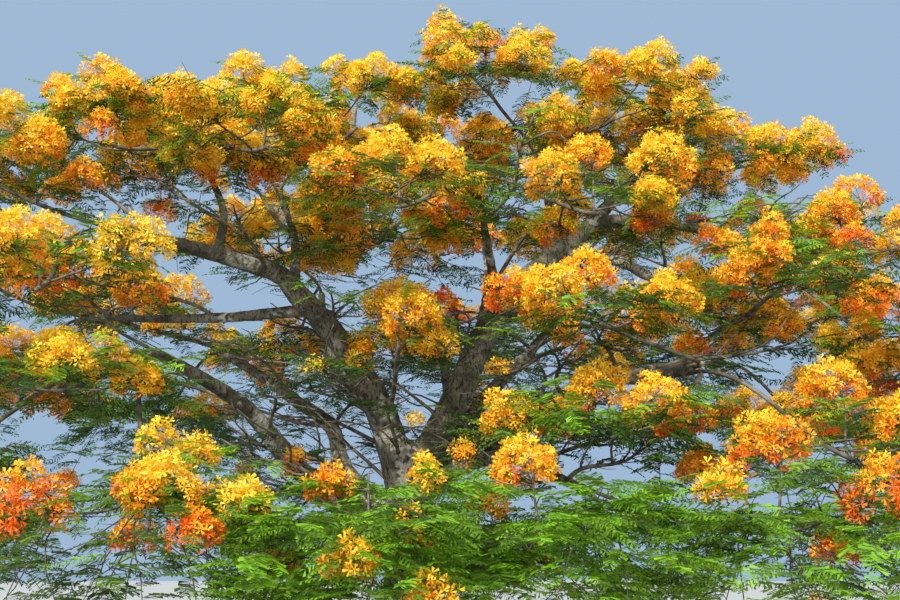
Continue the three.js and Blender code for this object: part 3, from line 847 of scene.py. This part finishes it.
def grow_run(kind, start, end):
    """Adds a run of that kind, which bows upwards and sways from side to side, and gives its points."""
    tube, ends, bow, sway = GROWTHS[kind]
    rings = TUBES[tube][0]
    share = np.linspace(0, 1, rings)[:, None]
    start, end = np.array(start), np.array(end)
    length = float(np.linalg.norm(end - start))
    swing = np.array([stray(1) for _ in range(3)])
    curl = np.array([stray(1) for _ in range(3)])
    arch = np.sin(math.pi * share)
    points = start + (end - start) * share + bow * length * arch * np.array([0, 0, 1])
    points += sway * length * (arch * swing + CURL * np.sin(2 * math.pi * share) * curl)
    runs[tube].append((points, np.linspace(*ends, rings)))
    return points


def in_reach(place):
    """Whether a place keeps to the solids' own reach, but for a little overhang."""
    return all(low - OVERHANG < at < high + OVERHANG for low, at, high in zip(cad_box[0], place, cad_box[1]))


def add_raceme(middle, way, size, tint):
    """A raceme in about the tint of its head."""
    if in_reach(middle):
        tint += chance.gauss(0, RACEME_TINT_CHANCE)
        racemes.append({"middle": middle, "way": way.normalized(), "size": size, "tint": tint})


def head_tint(middle):
    """Yellower on the left; yellower high up and deeper orange low down, as painted sunlight and shade."""
    tint = TINT_USUAL + TINT_RIGHT * middle.x + TINT_HIGH_PAINTED_LIGHT * (middle.z - MID_CROWN)
    return tint + chance.gauss(0, TINT_CHANCE)


def grow_head(twig):
    """The racemes of a head, over a dome at a twig's end, each on its own stalk, deeper low down as painted
    shade.
    """
    tint = head_tint(twig["middle"])
    for k in range(RACEMES_A_HEAD):
        down = (k / (RACEMES_A_HEAD - 1)) ** HEAD_CROWDING
        tilt = math.radians(mix(*HEAD_WRAP, down))
        bearing = GOLDEN_ANGLE * k + twig["turn"] + stray(HEAD_STRAY)
        way = math.sin(tilt) * flat_way(bearing) + math.cos(tilt) * UP
        size = twig["size"] * chance.uniform(*RACEME_SIZES)
        flat = BLOSSOM_RADIUS * twig["size"] * HEAD_FLAT * chance.uniform(*HEAD_FLAT_CHANCE)
        tall = BLOSSOM_HEIGHT * twig["size"] * HEAD_TALL * chance.uniform(*HEAD_TALL_CHANCE)
        place = twig["middle"] + Vector((way.x * flat, way.y * flat, way.z * tall - HEAD_SINK))
        # Racemes low on the head take a deeper tint: painted shade.
        add_raceme(place, way + RACEME_LIFT * UP, size, tint + FOOT_PAINTED_SHADE * (down - 0.5))
        root = twig["start"].lerp(twig["end"], chance.uniform(*STALK_SEATS))
        grow_run("stalk", root, place - STALK_ENDS_SHORT * way)


def grow_bunch(middle, count, deeper):
    """A few racemes close together: one on top, lighter, and the others round it, deeper: painted light and
    shade.
    """
    tint = head_tint(middle) + deeper
    turn = chance.uniform(0, 2 * math.pi)
    add_raceme(middle + BUNCH_TOP * UP, UP, chance.uniform(*BUNCH_SIZES), tint - BUNCH_PAINTED_SHADE)
    for k in range(1, count):
        aside = flat_way(turn + 2 * math.pi * k / (count - 1))
        place = middle + RACEME_RADIUS * (BUNCH_OUT * aside - BUNCH_DOWN * UP)
        add_raceme(place, aside + UP, chance.uniform(*BUNCH_SIZES), tint + BUNCH_PAINTED_SHADE)


def add_frond(mass, root, bearing, rise, length):
    """A frond whose tip keeps to the mass's own space, shorter if need be."""
    for share in FROND_TRIES:
        tip = root + share * length * (flat_way(bearing) + math.tan(rise) * UP).normalized()
        if in_own_space(mass, tip, past=FROND_PAST) and in_reach(tip):
            # Painted light: lighter high in the mass as if sunlit, darker low down as painted shade; middle
            # in leafy masses.
            shade = MIDDLE_SHADE - SHADE_A_DEPTH * (tip.z - mass["middle"].z) / mass["depth"]
            if mass["bloom"] <= LEAFY_BLOOM:
                shade = LEAFY_SHADE
            tint = min(max(round(chance.gauss(shade, SHADE_CHANCE)), 0), DARKEST_SHADE)
            fronds.append({"root": root, "bearing": bearing, "rise": rise, "length": share * length,
                           "tint": tint})
            return


def grow_fan(mass, start, end, bearing, count, splay, first):
    """Fronds that stand out on both sides of a shoot, from a share of the way along to its end."""
    for k in range(count):
        along = mix(first, 1, (k + 0.5) / count)
        heading = bearing + side_of(k) * mix(*FAN_SPLAY, along) * splay + stray(FAN_STRAY)
        length = chance.uniform(*FROND_REACH) * mix(*FAN_LENGTHS, along)
        add_frond(mass, start.lerp(end, along), heading, chance.uniform(*FROND_RISES), length)


def grow_shoot(mass, root, bearing):
    """A side shoot that ends in a few racemes or in fronds alone."""
    length = chance.uniform(*SHOOT_LENGTH)
    end = root + length * (flat_way(bearing) + chance.uniform(*SHOOT_RISES) * UP).normalized()
    if not in_own_space(mass, end, RACEME_RADIUS, RACEME_RADIUS):
        return
    grow_run("side_shoot", root, end)
    grow_fan(mass, root, end, bearing, FRONDS_A_SHOOT, splay=1, first=0.35)
    in_flower = SHOOTS_IN_FLOWER + SHOOTS_IN_FLOWER_HIGH * (end.z - SHOOT_FLOWER_HEIGHT)
    if chance.random() < mass["bloom"] * in_flower:
        grow_bunch(end, chance.randint(*SHOOT_BUNCH), SHOOT_DEEPER)


def grow_bare_twigs(mass, root, end, count):
    """Thin twigs that have shed their leaves, off both sides of a shoot."""
    bearing = math.atan2(end.y - root.y, end.x - root.x)
    for _ in range(count):
        start = root.lerp(end, chance.uniform(*BARE_TWIG_SEATS))
        way = flat_way(bearing + stray(BARE_TWIG_SPLAY)) + chance.uniform(*BARE_TWIG_RISES) * UP
        tip = start + chance.uniform(*BARE_TWIG_LENGTH) * way.normalized()
        if in_own_space(mass, tip):
            grow_run("bare_twig", start, tip)


def fill_in_flower(mass, more, place, up):
    """A fill shoot's chance to flower, more than usual by what its mass adds."""
    higher = FILL_IN_FLOWER_HIGH * (place.z - MID_CROWN)
    gain = FILL_IN_FLOWER_UP * up + higher + FILL_IN_FLOWER_RIGHT * place.x
    return max(LEAST_IN_FLOWER, more + mass["bloom"] * (FILL_IN_FLOWER + gain))


def fill_mass(mass, twigs):
    """Shoots that fill the rest of the mass's own space, each grown on from the nearest wood below it."""
    bloom = mass["bloom"]
    full, more = FILL_AS_SEEN.get(mass["name"].removeprefix("crown_"), (1, 0))
    roots = [mass["stem"].at(share) for share in FILL_STEM_SEATS]
    roots += [twig["start"].lerp(twig["end"], share) for twig in twigs for share in FILL_TWIG_SEATS]
    count = round(full * mix(LEAFY_FILL_SHOOTS, FILL_SHOOTS, bloom) * (mass["spread"] / SPREAD) ** 2)
    fan = round(mix(FRONDS_A_LEAFY_FILL, FRONDS_A_FILL_SHOOT, bloom))
    lowest = LEAFY_FILL_LOWEST
    if mass["middle"].z >= SKIRT_HEIGHT:
        lowest = mix(LEAFY_FILL_LOWEST, FILL_LOWEST, bloom)
    for k in range(count):
        out = mix(*FILL_REACH, ((k + 0.5) / count) ** FILL_CROWDING)
        up = mix(lowest, FILL_HIGHEST, chance.random()) - FILL_ROUND * out**2
        bearing = GOLDEN_ANGLE * k + stray(FILL_STRAY)
        aim = within(mass, bearing, out, up)
        root = min(roots, key=lambda place: (aim - place).length + max(0, place.z - aim.z))
        flowering = chance.random() < fill_in_flower(mass, more, aim, up)
        for share in FILL_TRIES:
            end = root.lerp(aim, share)
            if (end - root).length < SHORTEST_SHOOT:
                break
            if in_own_space(mass, end, END_ROOM, END_ROOM) and clear_of_wood(mass, end, *FILL_ROOM):
                grow_run("fill_shoot", root, end)
                grow_bare_twigs(mass, root, end, count=2)
                grow_fan(mass, root, end, bearing, fan, splay=1.2, first=0.4)
                if flowering:
                    # Lower in the mass the bunch takes a deeper tint: painted shade.
                    grow_bunch(end, chance.randint(*FILL_BUNCH), FILL_PAINTED_SHADE * (FILL_PAINTED_SHADE_BELOW - up))
                break


for mass in masses:
    chance.seed(mass["seed"])
    share = np.linspace(0, 1, TUBES["stem"][0])
    points = np.array([mass["stem"].at(s) for s in share])
    points[0] -= STEM_SUNK * np.array(mass["stem"].way(0))
    runs["stem"].append((points, mix(mass["radius"], STEM_TIP, share)))
    grown = grow_mass(mass)
    fill_mass(mass, grown)
    for twig in grown:
        start, end, bearing = twig["start"], twig["end"], twig["bearing"]
        grow_run(twig["kind"], start, end)
        if twig["flowering"]:
            grow_head(twig)
            past_end = end + PAST_TWIG * flat_way(bearing)
            grow_fan(mass, start, past_end, bearing, FRONDS_A_HEAD, splay=1.1, first=0.45)
        else:
            grow_fan(mass, start, end, bearing, FRONDS_A_LEAFY_TWIG, splay=1.1, first=0.3)
        for k, seat in enumerate(SHOOT_SEATS):
            turn = side_of(k) * chance.uniform(*SHOOT_SPLAY)
            grow_shoot(mass, start.lerp(end, seat), bearing + turn)

# Thin side limbs leave the boughs all along, sway out and up, and end in a few shoots of their own
for place, (name, path) in enumerate(paths.items()):
    if name == "trunk":
        continue
    chance.seed(place)
    count = int(path.length / SIDE_LIMB_STEP)
    for k in range(1, count):
        along = k / count + stray(SIDE_LIMB_STRAY)
        root, way = path.at(along), path.way(along)
        bearing = math.atan2(way.y, way.x) + side_of(k) * chance.uniform(*SIDE_LIMB_SPLAY)
        rise = chance.uniform(*SIDE_LIMB_RISES)
        end = root + chance.uniform(*SIDE_LIMB_LENGTH) * (flat_way(bearing) + rise * UP).normalized()
        mass = min(masses, key=lambda m: (m["middle"] - end).length)
        if not in_own_space(mass, end, END_ROOM, END_ROOM):
            continue
        points = grow_run("side_limb", root, end)
        for ring in BARE_TWIG_RINGS:
            grow_bare_twigs(mass, Vector(points[ring - 2]), Vector(points[ring]), count=2)
        for ring in SHOOT_RINGS:
            grow_shoot(mass, Vector(points[ring]), bearing + stray(SHOOT_STRAY))
        for number, ring in enumerate(FORK_RINGS):
            fork = Vector(points[ring])
            turn = bearing + side_of(number) * chance.uniform(*FORK_SPLAY)
            length = chance.uniform(*FORK_LENGTH)
            tip = fork + length * (flat_way(turn) + chance.uniform(*FORK_RISES) * UP)
            if in_own_space(mass, tip, END_ROOM, END_ROOM):
                grow_run("side_fork", points[ring], tip)
                grow_bare_twigs(mass, fork, tip, count=3)


def tubes(tube):
    """Corners and triangles of closed tapering tubes along all the runs of one kind."""
    rings, sides = TUBES[tube]
    points = np.array([points for points, _ in runs[tube]])
    radii_along = np.array([radii_along for _, radii_along in runs[tube]])
    ways = np.gradient(points, axis=1)
    ways /= np.linalg.norm(ways, axis=2, keepdims=True)
    steadiest = np.abs(ways).max(axis=1).argmin(axis=1)
    across = np.cross(ways, np.eye(3)[steadiest][:, None])
    across /= np.linalg.norm(across, axis=2, keepdims=True)
    over = np.cross(ways, across)
    angles = np.arange(sides) * 2 * math.pi / sides
    spokes = across[:, :, None] * np.cos(angles)[:, None] + over[:, :, None] * np.sin(angles)[:, None]
    corners = points[:, :, None] + radii_along[:, :, None, None] * spokes
    here = np.arange(sides)
    after = (here + 1) % sides
    faces = []
    for far, near in ((1, 0), (0, 1)):
        for k in range(rings - 1):
            second = (k + near) * sides + after
            faces.append(np.stack([k * sides + here, second, (k + 1) * sides + (after if far else here)], 1))
    fan = np.arange(1, sides - 1)
    last = (rings - 1) * sides
    faces.append(np.stack([0 * fan, fan + 1, fan], 1))
    faces.append(np.stack([last + 0 * fan, last + fan, last + fan + 1], 1))
    starts = np.arange(len(points)) * rings * sides
    return corners.reshape(-1, 3), (np.concatenate(faces)[None] + starts[:, None, None]).reshape(-1, 3)


def joined(name, parts, finish):
    """One piece from the corners and triangles of many parts, riding with the tree."""
    firsts = np.cumsum([0] + [len(corners) for corners, _ in parts])
    corners = np.concatenate([corners for corners, _ in parts])
    triangles = np.concatenate([faces + first for (_, faces), first in zip(parts, firsts)])
    mesh = bpy.data.meshes.new(name)
    mesh.vertices.add(len(corners))
    mesh.vertices.foreach_set("co", corners.astype(np.float32).ravel())
    mesh.loops.add(triangles.size)
    mesh.loops.foreach_set("vertex_index", triangles.astype(np.int32).ravel())
    mesh.polygons.add(len(triangles))
    mesh.polygons.foreach_set("loop_start", np.arange(0, triangles.size, 3, dtype=np.int32))
    mesh.update(calc_edges=True)
    piece = new_piece(name, mesh, finish)
    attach(piece, "root")
    return piece


TWIG_BROWN = (0.052, 0.044, 0.028, 1)
TWIG_GREY = (0.155, 0.138, 0.10, 1)
TWIG_LUMPS = 9
TWIG_RELIEF_LUMPS = 90
TWIG_RELIEF_DEPTH = 0.002

twig_bark = Finish("twig bark", roughness=0.8)
twig_tone = twig_bark.blend(twig_bark.grain(TWIG_LUMPS, 3).over(0.38, 0.62), TWIG_BROWN, TWIG_GREY)
twig_bark.feed(twig_bark.shader.inputs["Base Color"], twig_tone)
twig_bark.raised(twig_bark.grain(TWIG_RELIEF_LUMPS, 3), TWIG_RELIEF_DEPTH)

twigs = joined("stems_and_twigs", [tubes("stem"), tubes("twig")], twig_bark)
for polygon in twigs.data.polygons:
    polygon.use_smooth = True
joined("branchlets", [tubes("shoot"), tubes("branchlet")], twig_bark)
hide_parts(*[mass["name"] for mass in masses])


# Blossom. Flowers of five narrow petals, some round a tuft of red stamens, packed in racemes that crowd into
# domed heads. They are silky and thin, so light comes through. Their tints run from yellow tops to
# deep-orange feet, which is painted sunlight and shade.
FLOWERS_A_RACEME = 29
RACEME_WRAP = math.radians(112)
RACEME_PAINTED_SHADE = 1.8
FLOWER_TINT_CHANCE = 0.5
FLOWER_STRAY = 0.16
FLOWER_OUT = (0.72, 1.08)
FLOWER_LIFT = 0.3
FLOWER_TURN = 0.28
FLOWER_SIZES = (0.82, 1.18)
PETALS = 5
PETAL_LENGTH = 0.044
PETAL_WIDTH = 0.0225
PETAL_LIFTS = (0.008, 0.026)
PETAL_TWIST = 0.5
STAMEN_LENGTH = 0.045
STAMEN_WIDTH = 0.005
STAMEN_WIDEST = 0.8
STAMEN_RISE = math.radians(68)
STAMEN_BLADES = 2
FLOWERS_A_TUFT = 11
# Each tint: its lighter and deeper tone, and the tone of the light that comes through
BLOSSOM_TINTS = {
    "yellow": ((0.93, 0.71, 0.055, 1), (0.90, 0.60, 0.033, 1), (1.0, 0.64, 0.028, 1)),
    "golden": ((0.94, 0.65, 0.037, 1), (0.90, 0.52, 0.021, 1), (1.0, 0.55, 0.021, 1)),
    "amber": ((0.95, 0.57, 0.026, 1), (0.89, 0.43, 0.015, 1), (1.0, 0.46, 0.015, 1)),
    "orange": ((0.96, 0.44, 0.016, 1), (0.87, 0.30, 0.011, 1), (1.0, 0.35, 0.012, 1)),
    "deep_orange": ((0.90, 0.22, 0.009, 1), (0.66, 0.09, 0.006, 1), (0.95, 0.18, 0.008, 1)),
}
STAMEN_TINT = ((0.80, 0.16, 0.01, 1), (0.62, 0.07, 0.008, 1), (0.85, 0.2, 0.01, 1))


def small_shape(shape):
    """A small shape's corners and triangles, as arrays that its copies are made from."""
    bmesh.ops.triangulate(shape, faces=shape.faces[:])
    shape.verts.index_update()
    corners = np.array([corner.co for corner in shape.verts])
    triangles = np.array([[corner.index for corner in face.verts] for face in shape.faces])
    shape.free()
    return corners, triangles


def three_cornered(shape):
    """The three corners of a new face, each with the side that it is for: -1, 1, or 0 for the middle."""
    corners = bmesh.ops.create_circle(shape, cap_ends=True, radius=1, segments=3)["verts"]
    return {corner: round(corner.co.x) for corner in corners}


def spun(shape, count):
    """The shape, repeated to stand so many times round +Z."""
    bmesh.ops.spin(shape, geom=everything(shape), cent=(0, 0, 0), axis=(0, 0, 1),
                   angle=2 * math.pi * (count - 1) / count, steps=count - 1, use_duplicate=True)
    return small_shape(shape)


def flower(lift):
    """Five petals, opened more or less wide: narrow at the foot, broad at the end and twisted a little."""
    shape = bmesh.new()
    for corner, side in three_cornered(shape).items():
        aside = side * PETAL_WIDTH / 2
        corner.co = (PETAL_LENGTH, aside, lift + PETAL_TWIST * aside) if side else (0, 0, 0)
    return spun(shape, PETALS)


def stamen_tuft():
    """Two narrow blades that stand up out of the flower, each widest near its end."""
    shape = bmesh.new()
    corners = bmesh.ops.create_circle(shape, cap_ends=True, radius=1, segments=4)["verts"]
    ends = [corner for corner in corners if round(corner.co.x)]
    for corner in corners:
        side = round(corner.co.y)
        along = STAMEN_WIDEST if side else max(round(corner.co.x), 0)
        corner.co = (along * STAMEN_LENGTH, side * STAMEN_WIDTH / 2, 0)
    bmesh.ops.connect_verts(shape, verts=ends)
    rising = Matrix.Rotation(-STAMEN_RISE, 3, "Y")
    bmesh.ops.rotate(shape, verts=shape.verts[:], cent=(0, 0, 0), matrix=rising)
    return spun(shape, STAMEN_BLADES)


def unit(ways):
    return ways / np.linalg.norm(ways, axis=-1, keepdims=True)


def facing(ways, spins):
    """Turns that point each copy's own +Z along a way, spun about it."""
    aside = np.where(np.abs(ways[:, 2:]) < 0.9, (0.0, 0.0, 1.0), (1.0, 0.0, 0.0))
    across = unit(np.cross(aside, ways))
    over = np.cross(ways, across)
    cosine, sine = np.cos(spins)[:, None], np.sin(spins)[:, None]
    return np.stack([cosine * across + sine * over, cosine * over - sine * across, ways], axis=2)


def copies(small, turns, sizes, places):
    """Corners and triangles of a copy of a small shape at each place."""
    corners, triangles = small
    placed = np.einsum("nij,vj->nvi", turns * sizes[:, None, None], corners) + places[:, None]
    starts = np.arange(len(places)) * len(corners)
    return placed.reshape(-1, 3), (triangles[None] + starts[:, None, None]).reshape(-1, 3)


def dealt(shapes, turns, sizes, places):
    """Copies of the shapes by turns, one at each place."""
    hands = [slice(k, None, len(shapes)) for k in range(len(shapes))]
    return [copies(small, turns[hand], sizes[hand], places[hand]) for small, hand in zip(shapes, hands)]


def listed(things, key):
    return np.array([thing[key] for thing in things])


def flowers_of(some_racemes):
    """Turns, sizes, places and tints of the flowers of racemes: on a ball, facing out and a little up."""
    count = len(some_racemes)
    k = np.arange(FLOWERS_A_RACEME)
    # Flowers lower on a raceme take a deeper tint: painted shade.
    tints = listed(some_racemes, "tint")[:, None] + RACEME_PAINTED_SHADE * (k / k[-1] - 0.5)
    tints = np.rint(tints + draws.normal(0, FLOWER_TINT_CHANCE, tints.shape))
    down = np.arccos(mix(1, math.cos(RACEME_WRAP), (k + 0.5) / FLOWERS_A_RACEME))
    bearings = GOLDEN_ANGLE * k + draws.uniform(0, 2 * math.pi, (count, 1))
    level = np.sin(down)
    rising = np.cos(down) + 0 * bearings
    spokes = np.stack([level * np.cos(bearings), level * np.sin(bearings), rising], axis=2)
    spokes += draws.normal(0, FLOWER_STRAY, spokes.shape)
    ways = unit(listed(some_racemes, "way"))
    spokes = np.einsum("nij,nkj->nki", facing(ways, np.zeros(count)), spokes)
    sizes = listed(some_racemes, "size")[:, None, None]
    out = RACEME_RADIUS * sizes * draws.uniform(*FLOWER_OUT, (count, FLOWERS_A_RACEME, 1))
    places = (listed(some_racemes, "middle")[:, None] + out * spokes).reshape(-1, 3)
    faces = spokes + (0, 0, FLOWER_LIFT) + draws.normal(0, FLOWER_TURN, spokes.shape)
    flower_sizes = draws.uniform(*FLOWER_SIZES, len(places))
    turns = facing(unit(faces.reshape(-1, 3)), draws.uniform(0, 2 * math.pi, len(places)))
    return turns, flower_sizes, places, np.clip(tints, 0, len(BLOSSOM_TINTS) - 1).ravel()


class Petal(Finish):
    """A thin living blade: silky outside, a little uneven in tone, and lit through by what is behind it."""

    def __init__(self, name, tint, through, roughness, lumps):
        super().__init__(name, roughness)
        light, deep, glow = tint
        tone = self.blend(self.grain(lumps, 3).over(0.34, 0.66), light, deep)
        self.feed(self.shader.inputs["Base Color"], tone)
        self.shader.inputs["Specular IOR Level"].default_value = 0.3
        lit_through = self.node("ShaderNodeBsdfTranslucent", None, {"Color": glow})
        sockets = {0: through, 1: Socket(self, self.shader.outputs[0]), 2: lit_through}
        mixed = self.node("ShaderNodeMixShader", None, sockets)
        self.feed(self.tree.nodes["Material Output"].inputs["Surface"], mixed)


draws = np.random.default_rng(23)
flower_shapes = [flower(lift) for lift in PETAL_LIFTS]
turns, sizes, places, tints = flowers_of(racemes)
for number, (name, tint) in enumerate(BLOSSOM_TINTS.items()):
    own = tints == number
    parts = dealt(flower_shapes, turns[own], sizes[own], places[own])
    finish = Petal(f"{name} petals", tint, through=0.36, roughness=0.5, lumps=26)
    joined(f"{name}_blossom", parts, finish)
some = slice(None, None, FLOWERS_A_TUFT)
tufts = copies(stamen_tuft(), turns[some], sizes[some], places[some])
stamen_red = Petal("red stamens", STAMEN_TINT, through=0.2, roughness=0.45, lumps=60)
joined("stamens", [tufts], stamen_red)


# Fronds. Feathery leaves twice divided: a rib with pairs of narrow blades, which stand for the rows of tiny
# leaflets on the real one. They are soft and thin, droop to their tips, and run from a light green to dark,
# which is painted sunlight and shade.
PINNA_PAIRS = 14
PINNA_SPAN = (0.14, 0.97)
PINNA_LENGTH = 0.21
SHORTEST_PINNA = 0.35
PINNA_SWELL = (0.22, 0.93)
PINNA_WIDTH = 0.046
PINNA_TWIST = 0.55
PINNA_ANGLE = math.radians(64)
PINNA_HANG = 0.035
RIB_WIDTH = 0.012
RIB_TAPER = 0.8
RIB_STRETCHES = 2
FROND_DROOPS = (0.10, 0.24)
FROND_ROLL = 0.25
# One green in three painted lights: sunlit, half shade and shade.
FROND_TINTS = {
    "sunlit": ((0.215, 0.43, 0.02, 1), (0.12, 0.29, 0.014, 1), (0.31, 0.56, 0.016, 1)),
    "leaf": ((0.11, 0.21, 0.015, 1), (0.056, 0.12, 0.011, 1), (0.19, 0.34, 0.012, 1)),
    "shade": ((0.036, 0.08, 0.010, 1), (0.018, 0.045, 0.007, 1), (0.075, 0.165, 0.009, 1)),
}


def blade(shape, length, blunt):
    """A flat blade along +X from the origin, hanging to its end: pointed there, or blunt and broad."""
    corners = three_cornered(shape)
    for corner, side in corners.items():
        at_end = bool(side) == blunt
        corner.co = (at_end * length, side * PINNA_WIDTH / 2, -at_end * PINNA_HANG)
    return list(corners)


def frond_shape(droop):
    """One frond a metre long, along +X: a rib and its pairs of blades, longest in the middle, bent down."""
    shape = bmesh.new()
    bmesh.ops.create_grid(shape, x_segments=RIB_STRETCHES, y_segments=1, size=0.5)
    for corner in shape.verts:
        along = corner.co.x + 0.5
        corner.co = (along, corner.co.y * RIB_WIDTH * (1 - RIB_TAPER * along), 0)
    for k in range(PINNA_PAIRS):
        share = k / (PINNA_PAIRS - 1)
        root = Matrix.Translation((mix(*PINNA_SPAN, share), 0, 0))
        length = PINNA_LENGTH * mix(SHORTEST_PINNA, 1, math.sin(math.pi * mix(*PINNA_SWELL, share)))
        for side in (1, -1):
            pinna = blade(shape, length, k % 2 == 1)
            turn = Matrix.Rotation(side * PINNA_ANGLE, 4, "Z")
            twist = Matrix.Rotation(chance.gauss(0, PINNA_TWIST), 4, "X")
            bmesh.ops.transform(shape, matrix=root @ turn @ twist, verts=pinna)
    for corner in shape.verts:
        corner.co.z -= droop * corner.co.x ** 2
    return small_shape(shape)


frond_shapes = [frond_shape(droop) for droop in FROND_DROOPS]
for number, (name, tint) in enumerate(FROND_TINTS.items()):
    own = [frond for frond in fronds if frond["tint"] == number]
    bearings, rises = listed(own, "bearing"), listed(own, "rise")
    flat = np.cos(rises)
    along = np.stack([flat * np.cos(bearings), flat * np.sin(bearings), np.sin(rises)], axis=1)
    level = unit(np.cross((0, 0, 1), along))
    rolls = draws.normal(0, FROND_ROLL, len(own))[:, None]
    aside = np.cos(rolls) * level + np.sin(rolls) * np.cross(along, level)
    turns = np.stack([along, aside, np.cross(along, aside)], axis=2)
    parts = dealt(frond_shapes, turns, listed(own, "length"), listed(own, "root"))
    finish = Petal(f"{name} fronds", tint, through=0.28, roughness=0.55, lumps=7)
    joined(f"{name}_fronds", parts, finish)
